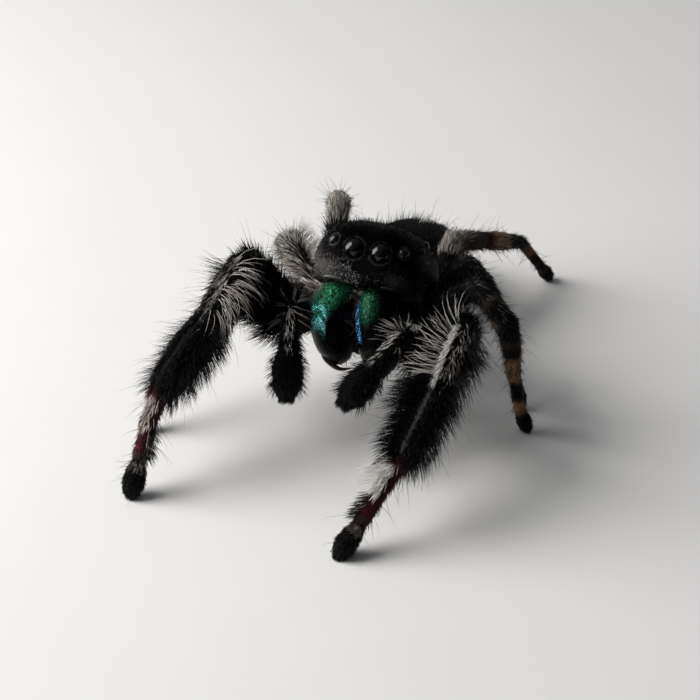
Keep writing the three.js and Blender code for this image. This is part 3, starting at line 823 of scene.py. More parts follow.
def coat_length():
    return bpy.context.scene.spider_coat.length


# ------------------------------------------------------------------ materials

def new_material(name, **values):
    """A material with some of its shader's values set, and what is needed to go on with it."""
    material = bpy.data.materials.new(name)
    material.use_nodes = True
    nodes = material.node_tree.nodes
    shader = nodes["Principled BSDF"]
    for socket, value in values.items():
        shader.inputs[socket.replace("_", " ")].default_value = value
    return material, nodes, material.node_tree.links, shader


def grain(nodes, links, scale, detail=3.0, roughness=0.6):
    """Noise in millimetres of the object's own space."""
    place = nodes.new("ShaderNodeTexCoord")
    noise = nodes.new("ShaderNodeTexNoise")
    noise.inputs["Scale"].default_value = scale / MM
    noise.inputs["Detail"].default_value = detail
    noise.inputs["Roughness"].default_value = roughness
    links.new(place.outputs["Object"], noise.inputs["Vector"])
    return noise


def tinted(nodes, links, shader, noise, low, high, dimmest, brightest):
    """Colours the shader with the piece's paint, made uneven by noise between low and high."""
    tone = nodes.new("ShaderNodeVertexColor")
    tone.layer_name = "paint"
    spread = nodes.new("ShaderNodeMapRange")
    for socket, value in zip(("From Min", "From Max", "To Min", "To Max"), (low, high, dimmest, brightest)):
        spread.inputs[socket].default_value = value
    times = nodes.new("ShaderNodeVectorMath")
    times.operation = "SCALE"
    links.new(noise.outputs["Fac"], spread.inputs["Value"])
    links.new(tone.outputs["Color"], times.inputs[0])
    links.new(spread.outputs["Result"], times.inputs["Scale"])
    links.new(times.outputs["Vector"], shader.inputs["Base Color"])


def embossed(nodes, links, shader, noise, strength, depth):
    """Relief from noise, with its depth in millimetres."""
    relief = nodes.new("ShaderNodeBump")
    relief.inputs["Strength"].default_value = strength
    relief.inputs["Distance"].default_value = depth * MM
    links.new(noise.outputs["Fac"], relief.inputs["Height"])
    links.new(relief.outputs["Normal"], shader.inputs["Normal"])


def painted_material(name, roughness, specular, scale, dimmest, brightest, bump=0.0, bump_scale=24.0):
    """A finish whose colour is the piece's paint, made uneven by grain. One name gives one material."""
    if name in bpy.data.materials:
        return bpy.data.materials[name]
    material, nodes, links, shader = new_material(name, Roughness=roughness, Specular_IOR_Level=specular)
    tinted(nodes, links, shader, grain(nodes, links, scale), 0.0, 1.0, dimmest, brightest)
    if bump:
        embossed(nodes, links, shader, grain(nodes, links, bump_scale, 4.0, 0.65), bump, 0.02)
    return material


def mixed_material(name, scale, colours, places=(0.0, 1.0), detail=3.0, **values):
    """A finish between two colours that grain mixes."""
    material, nodes, links, shader = new_material(name, **values)
    ramp = nodes.new("ShaderNodeValToRGB")
    for element, tone, place in zip(ramp.color_ramp.elements, colours, places):
        element.color = (*tone, 1.0)
        element.position = place
    links.new(grain(nodes, links, scale, detail).outputs["Fac"], ramp.inputs["Fac"])
    links.new(ramp.outputs["Color"], shader.inputs["Base Color"])
    return material


def black_hair():
    return painted_material("black_hair", 0.42, 0.2, 5.0, 0.6, 1.4)


def velvet():
    return painted_material("velvet", 0.8, 0.03, 5.0, 0.6, 1.4)


def pale_hair():
    return painted_material("pale_hair", 0.5, 0.3, 6.0, 0.6, 1.15)


# ------------------------------------------------------------------ pieces

FLESH = [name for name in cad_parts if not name.startswith(("eye_", "chelicera_", "fang_"))]
VOXEL = 0.055
LOWEST_SKIN = 0.005
# How far from its middle line a limb gives the skin its markings, as a share of its thickness.
LIMB_REACH = 1.35


def eye_list():
    """Pair, side, sizes and middle of every eye."""
    for pair, eye in EYES.items():
        for word, side in SIDES.items():
            yield pair, word, eye, mirrored(eye["at"], side)


def eye_axis(pair, centre):
    """The way an eye looks, in the body's frame."""
    return unit(mirrored(EYES[pair]["way"], np.sign(centre[0])))


def in_abdomen(point):
    """A point of the abdomen's own frame in the body's frame."""
    return np.array(point) @ ABDOMEN_TURN.T + np.array(ABDOMEN["front"])


# Path and radii of the waist.
WAIST = (((0, 1.0, -0.45), (0, 1.7, -0.32), (0, 2.2, -0.22), (0, 2.7, -0.05)), (0.2, 0.2, 0.24, 0.3))
# Balls that fill the skin: their middles, and half-sizes across, along and up.
MOUTH = (((0.3, -1.3, -1.15), (0.28, 0.34, 0.42)), ((0.27, -1.62, -1.55), (0.26, 0.26, 0.36)))
CLEFT = ((0.12, -1.82, -1.5), (0.2, 0.2, 0.5))
CLEFT_SHIFT = (0.1, 0, 0)
SPINNERET = ((0.13, ABDOMEN["length"] + 0.02, 0.07), (0.13, 0.22, 0.13))
CHEEKS = (((0.9, -1.62, 0.72), (0.3, 0.3, 0.36)), ((1.06, -1.6, 0.08), (0.36, 0.36, 0.36)))


def flesh_parts():
    """Closed skins of all lengths, shells and fillings, which overlap."""
    parts = [lofted(limb.rings(14, 20)) for limb in LIMBS]
    parts.append(lofted(CARAPACE_SHELL.rings(46, 56)))
    parts.append(lofted(ABDOMEN_SHELL.rings(40, 44)))
    parts.append(lofted(UNDERBODY_SHELL.rings(24, 28)))
    path, radii = WAIST
    parts.append(tube(placed(path), radii))
    for side in SIDES.values():
        parts += [ball(placed(mirrored(at, side)), sizes) for at, sizes in MOUTH + CHEEKS]
        at, sizes = CLEFT
        parts.append(ball(placed(mirrored(at, side) + CLEFT_SHIFT), sizes))
        at, sizes = SPINNERET
        parts.append(ball(placed(in_abdomen(mirrored(at, side))), sizes))
    for pair, _, eye, centre in eye_list():
        axis = eye_axis(pair, centre)
        seat = centre + axis * eye["radius"] * 0.12
        parts.append(collar(placed(seat), POSE @ axis, eye["radius"] + eye["collar"] * 0.5, eye["collar"]))
        parts.append(ball(placed(centre - axis * 0.05), (eye["radius"] * 0.9,) * 3))
    return parts


def rising(value, start, width):
    """How far a value has gone past a start over a width, from 0 to 1."""
    return np.clip((value - start) / width, 0, 1)


def mixed(tones, other, share):
    return tones + (other - tones) * share[:, None]


def skin_paint(points):
    """Markings of the skin at its points: those of the nearest limb with grey painted sheen on bare
    stripes, dark eye collars, and grey cheeks, the left one dimmer as painted shade.
    """
    tones = np.tile(colour("black"), (len(points), 1))
    best = np.full(len(points), LIMB_REACH)
    for limb in LIMBS:
        share, place, turn = limb.nearness(points)
        nearer = share < best
        best[nearer] = share[nearer]
        tones[nearer] = banded(limb, place[nearer])
        if (limb.owner, limb.segment) in STRIPES:
            middle, reach, bright = STRIPES[limb.owner, limb.segment]
            stripe = nearer & (away_from(turn, middle) < reach) & (place > 0.04) & (place < 0.95)
            # the grey of the bare stripe is a painted sheen
            tones[stripe] = colour("grey") * bright
    body = to_body(points)
    for _, _, eye, centre in eye_list():
        away = np.linalg.norm(body - centre, axis=-1)
        tones[(away > eye["radius"]) & (away < eye["radius"] + eye["collar"] * 1.3)] = colour("grey") * 0.25
    x, y, z = body.T
    cheek = rising(-z, -0.75, 0.5) * rising(-y, 1.2, 0.3)
    cheek *= rising(np.abs(x), 0.55, 0.3) * (z > -0.2) * (best > 1.3)
    # the left cheek's grey is dimmed as painted shade
    return mixed(tones, colour("grey") * 0.42, cheek * np.where(x > 0, 0.25, 1.0))


def fused_skin():
    """One skin around all parts of the flesh, still in millimetres."""
    vertices, faces = joined(flesh_parts())
    vertices[:, 2] = np.maximum(vertices[:, 2], LOWEST_SKIN * 2)
    mesh = bpy.data.meshes.new("skin")
    mesh.from_pydata(vertices.tolist(), [], faces)
    turned_outward(mesh)
    piece = linked("skin", mesh)
    fuse = piece.modifiers.new("fuse", "REMESH")
    fuse.mode = "VOXEL"
    fuse.voxel_size = VOXEL
    relax = piece.modifiers.new("relax", "SMOOTH")
    relax.factor = 0.5
    relax.iterations = 4
    apply_modifiers(piece)
    return piece


def build_skin():
    piece = fused_skin()
    mesh = piece.data
    points = np.empty(len(mesh.vertices) * 3, np.float32)
    mesh.vertices.foreach_get("co", points)
    points = points.reshape(-1, 3).astype(float)
    points[:, 2] = np.maximum(points[:, 2], LOWEST_SKIN)
    polygons = [tuple(polygon.vertices) for polygon in mesh.polygons]
    _skin["tree"] = BVHTree.FromPolygons(points.tolist(), polygons)
    paint(mesh, skin_paint(points))
    mesh.vertices.foreach_set("co", (points * MM).astype(np.float32).ravel())
    mesh.update()
    mesh.shade_smooth()
    mesh.materials.clear()
    settle(piece, painted_material("cuticle", 0.5, 0.03, 16.0, 0.0, 2.4, bump=0.8), "shell", *FLESH)
    print(f"skin: {len(points)} points")


def apply_modifiers(piece):
    view = bpy.context.evaluated_depsgraph_get()
    finished = bpy.data.meshes.new_from_object(piece.evaluated_get(view))
    piece.modifiers.clear()
    old = piece.data
    piece.data = finished
    bpy.data.meshes.remove(old)
    finished.name = piece.name


def build_eyes():
    # near-black lenses, faintly blue-green as a painted coloured reflection
    material = mixed_material(
        "eye_lens", 1.5, ((0.0005, 0.0008, 0.0015), (0.0008, 0.002, 0.003)), detail=1.0,
        Roughness=0.04, Specular_IOR_Level=0.32,
    )
    for pair, word, eye, centre in eye_list():
        points, faces = ball(placed(centre), (eye["radius"] * 0.985,) * 3, 40, 56)
        piece = make_object(f"eye_{pair}_{word}_lens", points, faces)
        settle(piece, material, "eye", f"eye_{pair}_{word}")


def chelicera_paint(place, turn, shaded):
    """Green above, darker towards the top under the face as painted shade, and black towards the fang. The
    shaded one is green on its inner half only, its outer half darkened and its black reaching higher as
    painted shade, with a blue painted highlight along its inner edge; the other turns teal down its outer
    side, partly its own shining colour and partly painted glints."""
    angle = np.radians(turn)
    outer, fore = np.cos(angle), np.sin(angle)
    down = np.clip(place, 0, 1)
    leafy = np.clip(1.2 * fore * (1 - 1.5 * down) - 0.1, 0, 1)
    tones = mixed(colour("bottle_green"), colour("leaf_green"), leafy)
    # darker towards the top, under the face, as painted shade
    tones = tones * np.clip(0.35 + down * 3, 0, 1)[:, None]
    if shaded:
        # painted shade: the outer half darkened and the black reaching higher
        night = 0.38 - 0.1 * outer
        tones = tones * np.clip(0.25 - 0.65 * outer, 0.01, 0.6)[:, None]
    else:
        night = np.interp(outer, (-1, -0.5, -0.05, 0.14, 1), (0.18, 0.29, 0.44, 0.59, 0.57))
        # teal in ripples down the outer side: partly the jaw's own shining colour, partly painted glints
        ripple = np.clip(0.6 + 0.6 * np.sin(38 * down - 7 * angle + 2.2 * np.sin(6 * angle)), 0.1, 1)
        painted_glints = rising(down, 0.37, 0.12) * rising(outer, -0.2, 0.36) * rising(-outer, -1.04, 0.3) * ripple
        tones = mixed(tones, colour("teal"), painted_glints)
    night = night + 0.02 * np.sin(11 * angle)
    tones = mixed(tones, colour("night"), rising(down, night, 0.09))
    if not shaded:
        return tones
    # a blue painted highlight along the inner edge
    edge = rising(-outer - 0.84 + 0.36 * down, 0, 0.14) * rising(down, 0.22, 0.2)
    edge *= rising(-down, -0.68, 0.08) * np.clip(fore * 5, 0, 1)
    return mixed(tones, colour("blue"), edge)


def jaw_material():
    """Shining metal-like skin with fine slanting ridges that break its gloss into glints and streak its
    colour, partly as its own uneven tone and partly as painted glints.
    """
    material, nodes, links, shader = new_material(
        "iridescent_jaw", Metallic=0.95, Roughness=0.22, Specular_IOR_Level=0.3, Coat_Weight=0.04,
        Coat_Roughness=0.1,
    )
    place = nodes.new("ShaderNodeTexCoord")
    slant = nodes.new("ShaderNodeMapping")
    slant.inputs["Rotation"].default_value = (0.5, 0.6, 0.3)
    slant.inputs["Scale"].default_value = (1.0, 1.0, 2.6)
    ridges = nodes.new("ShaderNodeTexNoise")
    ridges.inputs["Scale"].default_value = 11.0 / MM
    ridges.inputs["Detail"].default_value = 3.0
    ridges.inputs["Roughness"].default_value = 0.6
    ridges.inputs["Distortion"].default_value = 0.6
    links.new(place.outputs["Object"], slant.inputs["Vector"])
    links.new(slant.outputs["Vector"], ridges.inputs["Vector"])
    # the ridges make the colour streaky, up to several times brighter: partly uneven tone, partly painted
    # glints
    tinted(nodes, links, shader, ridges, 0.35, 0.68, 0.1, 2.6)
    embossed(nodes, links, shader, ridges, 1.0, 0.05)
    return material


def build_chelicerae():
    material = jaw_material()
    rings, sides = 90, 96
    for word, surface in CHELICERAE.items():
        points, faces = lofted(surface.rings(rings, sides))
        piece = make_object(f"chelicera_{word}_base", points, faces)
        places = np.repeat(surface.ring_places(rings), sides)
        turns = np.tile(np.arange(sides) * 360 / sides, rings)
        tones = chelicera_paint(places, turns, word == "left")
        ends = np.array((tones[:sides].mean(0), tones[-sides:].mean(0)))
        paint(piece.data, np.vstack((tones, ends)))
        settle(piece, material, "chelicera", f"chelicera_{word}")


def build_fangs():
    tones = ((0.006, 0.003, 0.002), (0.03, 0.01, 0.006))
    material = mixed_material("fang_horn", 6.0, tones, Roughness=0.16)
    for word, side in SIDES.items():
        path = smooth_table([mirrored(p, side) for p in FANG], np.linspace(0, 1, 24))
        path[:, 0] += jaw_swing(path[:, 2])
        radii = np.interp(np.linspace(0, 1, 24), (0, 0.3, 1), (0.14, 0.11, 0.012))
        piece = make_object(f"fang_{word}_horn", *tube(placed(path), radii, 20))
        settle(piece, material, "fang", f"fang_{word}")


def build_membranes():
    """Soft skin between the face and each chelicera: pale grey on the right, partly as a painted highlight,
    and nearly black on the left as painted shade.
    """
    pieces, tones = [], []
    for side in SIDES.values():
        shape, faces = ball((0, 0, 0), (0.34, 0.12, 0.07), 20, 28)
        shape[:, 2] += 0.3 * (0.34**2 - shape[:, 0] ** 2) - 0.02
        pieces.append((placed(shape + mirrored((0.7, -1.98, -0.06), side)), faces))
        # the right one pale grey, partly a painted highlight; the left one nearly black as painted shade
        tones.append(np.full((len(shape), 3), 0.12 if side < 0 else 0.006))
    piece = make_object("clypeus_membranes", *joined(pieces))
    paint(piece.data, np.vstack(tones))
    settle(piece, painted_material("soft_skin", 0.3, 0.3, 7.0, 0.5, 1.5), "shell")


# ------------------------------------------------------------------ coats

def limbs_of(group, segment):
    return [limb for limb in LIMBS if (limb.group, limb.segment) == (group, segment)]


# Thick short hair all over a limb: how many to a square millimetre and how long.
UNDERCOAT = {
    ("front", "coxa"): (180, 0.22), ("front", "femur"): (420, 0.28), ("front", "patella"): (460, 0.24),
    ("front", "tibia"): (480, 0.26), ("front", "metatarsus"): (420, 0.12),
    ("front", "tarsus"): (1100, 0.13),
    ("rear", "coxa"): (150, 0.16), ("rear", "femur"): (360, 0.2), ("rear", "patella"): (400, 0.17),
    ("rear", "tibia"): (460, 0.16), ("rear", "metatarsus"): (500, 0.12),
    ("rear", "tarsus"): (1000, 0.11),
    ("palp", "coxa"): (120, 0.14), ("palp", "femur"): (340, 0.18), ("palp", "patella"): (420, 0.17),
    ("palp", "tibia"): (460, 0.18), ("palp", "tarsus"): (760, 0.15),
}


def undercoat(coat, groups):
    for (group, segment), (per_mm2, length) in UNDERCOAT.items():
        if group not in groups:
            continue
        lift = (46, 18) if segment == "tarsus" else (34, 16)
        for limb in limbs_of(group, segment):
            roots = scattered(coat, limb, per_mm2, (-0.04, 1.04), spare=STRIPES.get((limb.owner, segment)))
            tones = banded(limb, roots.place)
            bends = 2 if group == "front" else 1
            coat.grow(roots, length, 0.02, lift, 0, 14, tones, tones * 1.2, bends=bends)


# Along is a fringe's stretch of the length, around its middle turn and how far to each side of it, lift
# its hairs' rise at root and tip, only the ending of the limbs' names that have it, or a tuple of such
# endings, lean the turn of its hairs at both ends of the stretch, and curl what is added at their tips.
Fringe = namedtuple(
    "Fringe", "group segment along around per_mm2 length lift width tone only lean curl",
    defaults=("black", "", (0, 0), 0),
)
DARK_FRINGES = [Fringe(*row) for row in (
    ("front", "femur", (0, 1), (180, 80), 430, 0.84, (62, 46), 0.02),
    ("front", "femur", (0.1, 1.05), (0, 110), 130, 0.42, (52, 24), 0.02),
    ("front", "patella", (0, 1), (190, 120), 190, 0.44, (55, 28), 0.02),
    ("front", "patella", (0, 1), (0, 70), 80, 0.24, (40, 16), 0.02),
    ("front", "tibia", (0, 0.97), (100, 50), 400, 0.6, (66, 44), 0.016, "black", "", (10, 0)),
    ("front", "tibia", (0, 0.97), (260, 50), 360, 0.52, (66, 44), 0.016, "black", "", (-10, 0)),
    ("front", "tibia", (0, 0.9), (290, 60), 150, 0.72, (60, 34), 0.017, "black", "left", (-20, -10)),
    ("front", "tibia", (-0.05, 0.34), (110, 46), 520, 0.84, (70, 52), 0.017, "black", "left", (30, 10)),
    ("front", "patella", (0, 1), (290, 60), 170, 0.74, (58, 30), 0.018, "soot", "left", (-26, -14)),
    ("front", "tibia", (0, 0.97), (180, 60), 230, 0.58, (62, 44), 0.017),
    ("front", "metatarsus", (0.52, 0.92), (96, 52), 620, 0.34, (62, 44), 0.018),
    ("front", "metatarsus", (0.6, 1), (240, 70), 200, 0.2, (50, 30), 0.016),
    ("front", "metatarsus", (0, 0.9), (340, 60), 90, 0.2, (34, 16), 0.015),
    ("front", "metatarsus", (0.05, 0.7), (220, 110), 150, 0.18, (46, 26), 0.014, "soot"),
    ("front", "metatarsus", (0, 0.5), (180, 180), 50, 0.2, (40, 20), 0.015, "soot"),
    ("rear", "femur", (0.05, 1), (180, 180), 70, 0.34, (50, 30), 0.018),
    ("rear", "patella", (0, 1), (180, 130), 80, 0.3, (50, 28), 0.018, "umber"),
    ("rear", "tibia", (0, 1), (180, 180), 100, 0.28, (50, 28), 0.018),
    ("rear", "metatarsus", (0, 1), (180, 180), 60, 0.2, (48, 28), 0.014, "umber"),
    ("palp", "femur", (0.1, 1), (180, 180), 110, 0.34, (55, 30), 0.018),
    ("palp", "patella", (0, 1), (180, 120), 150, 0.3, (55, 30), 0.018),
    ("palp", "tibia", (0, 1), (180, 180), 170, 0.34, (56, 32), 0.018),
    ("palp", "tarsus", (0, 0.8), (180, 180), 200, 0.34, (60, 38), 0.016),
)]
PALE_KNEES = ("leg3_right", "leg4_right", "leg4_left", "leg2_right")
DARK_KNEES = ("leg2_left", "leg3_left")
OPEN_LEGS = ("leg2_right", "leg3_right")
SECOND_LEGS = ("leg2_left", "leg2_right")
HIND_LEGS = ("leg3_left", "leg3_right", "leg4_left", "leg4_right")
PALE_FRINGES = [Fringe(*row) for row in (
    # the long curved hairs of the front knees, which fan out over the inner side
    ("front", "patella", (0.08, 0.95), (28, 22), 125, 1.0, (44, -2), 0.0165, "silver",
     "right", (126, 52), -50),
    ("front", "patella", (0.1, 0.95), (52, 24), 70, 0.8, (44, 0), 0.0165, "silver",
     "right", (112, 50), -42),
    ("front", "patella", (0.02, 1), (46, 10), 185, 0.9, (46, 2), 0.016, "white", "left", (140, 34), 46),
    ("front", "patella", (0.06, 1), (54, 22), 60, 0.8, (46, 4), 0.016, "silver", "left", (124, 32), 40),
    ("front", "patella", (0.04, 1.16), (42, 10), 2400, 0.26, (36, 16), 0.026, "snow", "left", (14, 4)),
    ("front", "patella", (0, 0.95), (8, 26), 210, 0.3, (30, 12), 0.02, "silver", "left", (-14, -8)),
    ("front", "patella", (0, 0.9), (335, 30), 90, 0.34, (36, 14), 0.02, "grey", "left", (-24, -14)),
    # the pale line along the back of the knee, and short pale hairs beyond it
    ("front", "patella", (-0.05, 0.98), (12, 12), 380, 0.28, (18, 6), 0.026, "white", "right", (4, 2)),
    ("front", "patella", (0, 0.9), (350, 34), 120, 0.3, (24, 8), 0.022, "silver", "right", (-6, -6)),
    ("front", "patella", (0.1, 0.95), (310, 40), 36, 0.36, (40, 16), 0.022, "grey", "", (-20, -14)),
    ("front", "tibia", (0.02, 0.3), (8, 30), 26, 0.2, (30, 10), 0.02, "silver"),
    ("front", "tibia", (0, 0.95), (24, 5), 90, 0.16, (14, 4), 0.016, "grey", "left"),
    ("front", "femur", (0.86, 1.04), (10, 50), 60, 0.45, (48, 20), 0.022, "silver", "", (30, 20)),
    # pale hair along the back of the shank, longest next to its upper joint
    ("front", "metatarsus", (0, 0.5), (58, 48), 820, 0.32, (40, 18), 0.02, "snow", "left"),
    ("front", "metatarsus", (0, 0.5), (350, 60), 150, 0.26, (34, 10), 0.021, "pink", "right"),
    ("front", "metatarsus", (0, 0.5), (20, 55), 200, 0.28, (34, 10), 0.02, "white", "right"),
    ("front", "metatarsus", (-0.04, 0.36), (84, 44), 330, 0.74, (64, 44), 0.014, "snow", "left"),
    ("front", "metatarsus", (0, 0.4), (300, 60), 60, 0.3, (56, 30), 0.013, "white", "right"),
    ("front", "metatarsus", (0.55, 0.8), (80, 40), 110, 0.28, (56, 30), 0.016, "silver"),
    ("front", "tarsus", (-0.1, 0.14), (10, 110), 420, 0.2, (22, 6), 0.018, "silver"),
    ("rear", "femur", (0.1, 0.95), (0, 70), 26, 0.3, (26, 8), 0.018, "grey"),
    ("rear", "femur", (-0.05, 0.9), (70, 110), 150, 0.42, (44, 14), 0.018, "silver", OPEN_LEGS, (40, 20)),
    ("rear", "femur", (-0.05, 1), (90, 120), 200, 0.46, (52, 20), 0.018, "grey", OPEN_LEGS, (50, 30)),
    ("rear", "femur", (0.4, 0.8), (90, 60), 240, 0.3, (40, 14), 0.018, "tan", "leg3_right", (40, 30)),
    ("rear", "femur", (0.2, 1), (150, 60), 220, 0.72, (70, 56), 0.018, "grey", "leg3_right", (-20, -10)),
    ("rear", "femur", (0.2, 1), (150, 60), 80, 0.76, (70, 56), 0.017, "silver", "leg3_right", (-20, -10)),
    ("rear", "femur", (0.2, 1.05), (285, 50), 360, 0.62, (72, 58), 0.016, "silver", "leg3_right", (-10, 0)),
    # pink and snow-white hair on the right second coxa: pale hair, with the snow-white added as a painted
    # highlight
    ("rear", "coxa", (0.3, 1.05), (90, 120), 300, 0.34, (40, 10), 0.02, "pink", "leg2_right", (20, 10)),
    ("rear", "coxa", (0.3, 1.05), (90, 120), 500, 0.36, (46, 16), 0.018, "snow", "leg2_right", (20, 10)),
    ("rear", "tibia", (0, 0.8), (90, 150), 200, 0.44, (50, 20), 0.018, "silver", "leg3_right"),
    ("rear", "femur", (0.74, 1.06), (10, 120), 400, 0.34, (36, 10), 0.02, "silver", PALE_KNEES),
    ("rear", "patella", (-0.05, 0.5), (10, 100), 190, 0.28, (30, 8), 0.019, "silver", PALE_KNEES),
    ("rear", "femur", (0.9, 1.06), (0, 80), 90, 0.26, (36, 10), 0.018, "grey", DARK_KNEES),
    ("rear", "patella", (-0.05, 0.9), (0, 100), 60, 0.24, (34, 10), 0.018, "grey"),
    ("rear", "tibia", (0.66, 1), (0, 180), 240, 0.2, (26, 8), 0.02, "tan", SECOND_LEGS),
    ("rear", "tibia", (0.5, 1), (0, 180), 60, 0.2, (32, 12), 0.02, "umber", SECOND_LEGS),
    ("rear", "tibia", (0.25, 0.6), (0, 180), 420, 0.2, (26, 8), 0.02, "sand", HIND_LEGS),
    ("rear", "metatarsus", (0, 0.2), (0, 180), 300, 0.18, (28, 10), 0.018, "tan", SECOND_LEGS),
    ("rear", "metatarsus", (0.74, 1), (0, 180), 260, 0.18, (34, 14), 0.018, "tan", SECOND_LEGS),
    ("rear", "metatarsus", (0.1, 0.46), (0, 180), 120, 0.18, (28, 10), 0.018, "tan", HIND_LEGS),
    ("rear", "tibia", (0.4, 1), (0, 100), 40, 0.22, (30, 12), 0.015, "silver", HIND_LEGS),
    ("rear", "tarsus", (0, 0.2), (0, 150), 120, 0.13, (26, 10), 0.017, "grey"),
    ("palp", "femur", (0.84, 1.05), (0, 70), 100, 0.56, (66, 30), 0.018, "silver", "", (20, 10)),
    ("palp", "patella", (-0.05, 1), (0, 30), 330, 0.24, (28, 8), 0.023, "white", "", (10, 8)),
    ("palp", "patella", (-0.1, 0.6), (0, 100), 80, 0.56, (70, 40), 0.018, "silver", "", (60, 10)),
    ("palp", "tibia", (0, 0.9), (0, 26), 420, 0.2, (24, 8), 0.022, "white"),
)]


def grow_fringes(coat, fringes, groups, bends):
    for fringe in fringes:
        if fringe.group not in groups:
            continue
        for limb in limbs_of(fringe.group, fringe.segment):
            if not limb.owner.endswith(fringe.only):
                continue
            roots = scattered(coat, limb, fringe.per_mm2, fringe.along, fringe.around)
            lean = np.interp(roots.place, fringe.along, fringe.lean)
            tone = colour(fringe.tone)
            coat.grow(
                roots, fringe.length, fringe.width, fringe.lift, lean, 9, tone, tone * 0.9, bends=bends,
                curl=fringe.curl,
            )


def build_dark_coats():
    coat = Coat("coat_front_legs", 11)
    undercoat(coat, ("front",))
    coat.finish("black_fur", black_hair())
    coat = Coat("coat_front_fringes", 12)
    grow_fringes(coat, DARK_FRINGES, ("front",), 3)
    coat.finish("black_fur", black_hair())
    coat = Coat("coat_rear_legs", 13)
    undercoat(coat, ("rear",))
    coat.finish("banded_shank", black_hair())
    coat = Coat("coat_rear_fringes", 14)
    grow_fringes(coat, DARK_FRINGES, ("rear", "palp"), 2)
    undercoat(coat, ("palp",))
    coat.finish("black_fur", black_hair())


def build_pale_coats():
    coat = Coat("coat_pale_front", 21)
    grow_fringes(coat, PALE_FRINGES, ("front",), 4)
    coat.finish("pale_fur", pale_hair())
    coat = Coat("coat_pale_rear", 22)
    grow_fringes(coat, PALE_FRINGES, ("rear", "palp"), 2)
    coat.finish("pale_fur", pale_hair())


def clear_of_eyes(body_points, margin=0.05):
    clear = np.ones(len(body_points), bool)
    for _, _, eye, centre in eye_list():
        clear &= np.linalg.norm(body_points - centre, axis=-1) > eye["radius"] + margin
    return clear


def on_crown(points):
    return clear_of_eyes(points) & (points[:, 2] > 0.95)


def on_cheek(points):
    low = (points[:, 1] < -1.0) & (points[:, 2] < 0.75)
    return clear_of_eyes(points) & low & (np.abs(points[:, 0]) > 0.8)


def on_temple(points):
    """A short line down the side of the head, behind the side eyes."""
    line = (points[:, 1] > -1.45) & (points[:, 1] < -1.0) & (points[:, 2] < 1.1)
    return clear_of_eyes(points) & line & (np.abs(points[:, 0]) > 1.1)


def build_head_coat():
    coat = Coat("coat_head", 31)
    back = POSE @ np.array((0, 1.0, -0.1))
    down = POSE @ np.array((0, -0.3, -1.0))
    black = colour("black")
    # short black pile that lies backwards on top and down on the cheeks
    roots = scattered(coat, CARAPACE_SHELL, 640, keep=lambda p: clear_of_eyes(p) & (p[:, 1] > -1.95))
    coat.grow(roots, 0.13, 0.018, (24, 10), 0, 22, black, bends=1, lie=back)
    # upright bristles on top
    roots = scattered(coat, CARAPACE_SHELL, 240, keep=on_crown)
    coat.grow(roots, 0.16, 0.013, (72, 48), 0, 18, black, lie=-back)
    roots = scattered(coat, CARAPACE_SHELL, 14, keep=lambda p: clear_of_eyes(p) & (p[:, 2] > 0.9))
    coat.grow(roots, 0.42, 0.009, (72, 50), 0, 18, black, bends=3, lie=-back)
    # black hair between and around the front eyes
    roots = scattered(
        coat, CARAPACE_SHELL, 500,
        keep=lambda p: clear_of_eyes(p, 0.02) & (p[:, 1] < -1.8) & (p[:, 2] > 0.42),
    )
    coat.grow(roots, 0.13, 0.018, (34, 12), 0, 30, black, black * 1.3, bends=1, lie=down)
    # sparse dark grey pile on the cheeks, darker on the left one as painted shade
    roots = scattered(coat, CARAPACE_SHELL, 240, keep=on_cheek)
    dim = np.where(to_body(roots.points)[:, :1] > 0, 0.3, 1.0)
    grey = colour("grey") * dim * coat.rng.uniform(0.2, 1.5, (len(roots.points), 1))
    coat.grow(roots, 0.07, 0.019, (20, 6), 0, 30, grey, bends=1, lie=down)
    coat.finish("black_fur", velvet())


def build_face_scales():
    coat = Coat("coat_face_scales", 32)
    back = POSE @ np.array((0, 1.0, -0.1))

    def on_clypeus(points):
        """Under the eyes, thickest beside the middle and along the lower edge, and much fewer on the left
        as painted shade.
        """
        across = np.abs(points[:, 0])
        depth = (0.74 - 0.1 * across - points[:, 2]) / 0.7
        middle = np.clip(0.35 + across * 1.6, 0, 1) * np.clip(2.4 - across * 1.6, 0, 1)
        middle *= np.interp(points[:, 0], (-0.15, 0.3), (1.3, 0.06))
        chance = np.clip(depth * 3, 0, 1) * np.clip(1.9 - depth, 0, 1) * middle
        chosen = coat.rng.random(len(points)) < chance
        return clear_of_eyes(points, 0.02) & (points[:, 1] < -1.45) & chosen

    # pale scale-like hairs, which point down and inwards, much brighter on the right than on the left as
    # painted light and shade
    roots = scattered(coat, CARAPACE_SHELL, 1050, keep=on_clypeus)
    side = np.sign(to_body(roots.points)[:, :1])
    bright = np.where(side > 0, 0.3, 2.0) * coat.rng.uniform(0.2, 1.4, (len(roots.points), 1))
    pale = colour("ash") * bright
    lie = (np.array((0, -0.2, -1.0)) + side * (-0.7, 0, 0)) @ POSE.T
    coat.grow(roots, 0.1, 0.013, (18, 6), 0, 30, pale, pale * 1.2, bends=1, lie=lie)
    for side in SIDES.values():
        for pair in ("front", "side"):
            ring_of_hairs(coat, pair, mirrored(EYES[pair]["at"], side))
    roots = scattered(coat, CARAPACE_SHELL, 60, keep=on_temple)
    fawn = colour("silver") * 0.7 + colour("tan") * 0.3
    coat.grow(roots, 0.16, 0.016, (34, 12), 0, 24, fawn, bends=1, lie=back)
    # sparse grey hairs over the sides and rear of the carapace
    roots = scattered(coat, CARAPACE_SHELL, 16, keep=lambda p: clear_of_eyes(p) & (p[:, 1] > -1.6))
    coat.grow(roots, 0.16, 0.014, (20, 6), 0, 20, colour("grey"), bends=1, lie=back)
    coat.finish("pale_fur", pale_hair())


# Hairs around an eye to a millimetre of its radius.
RING_HAIRS = 633


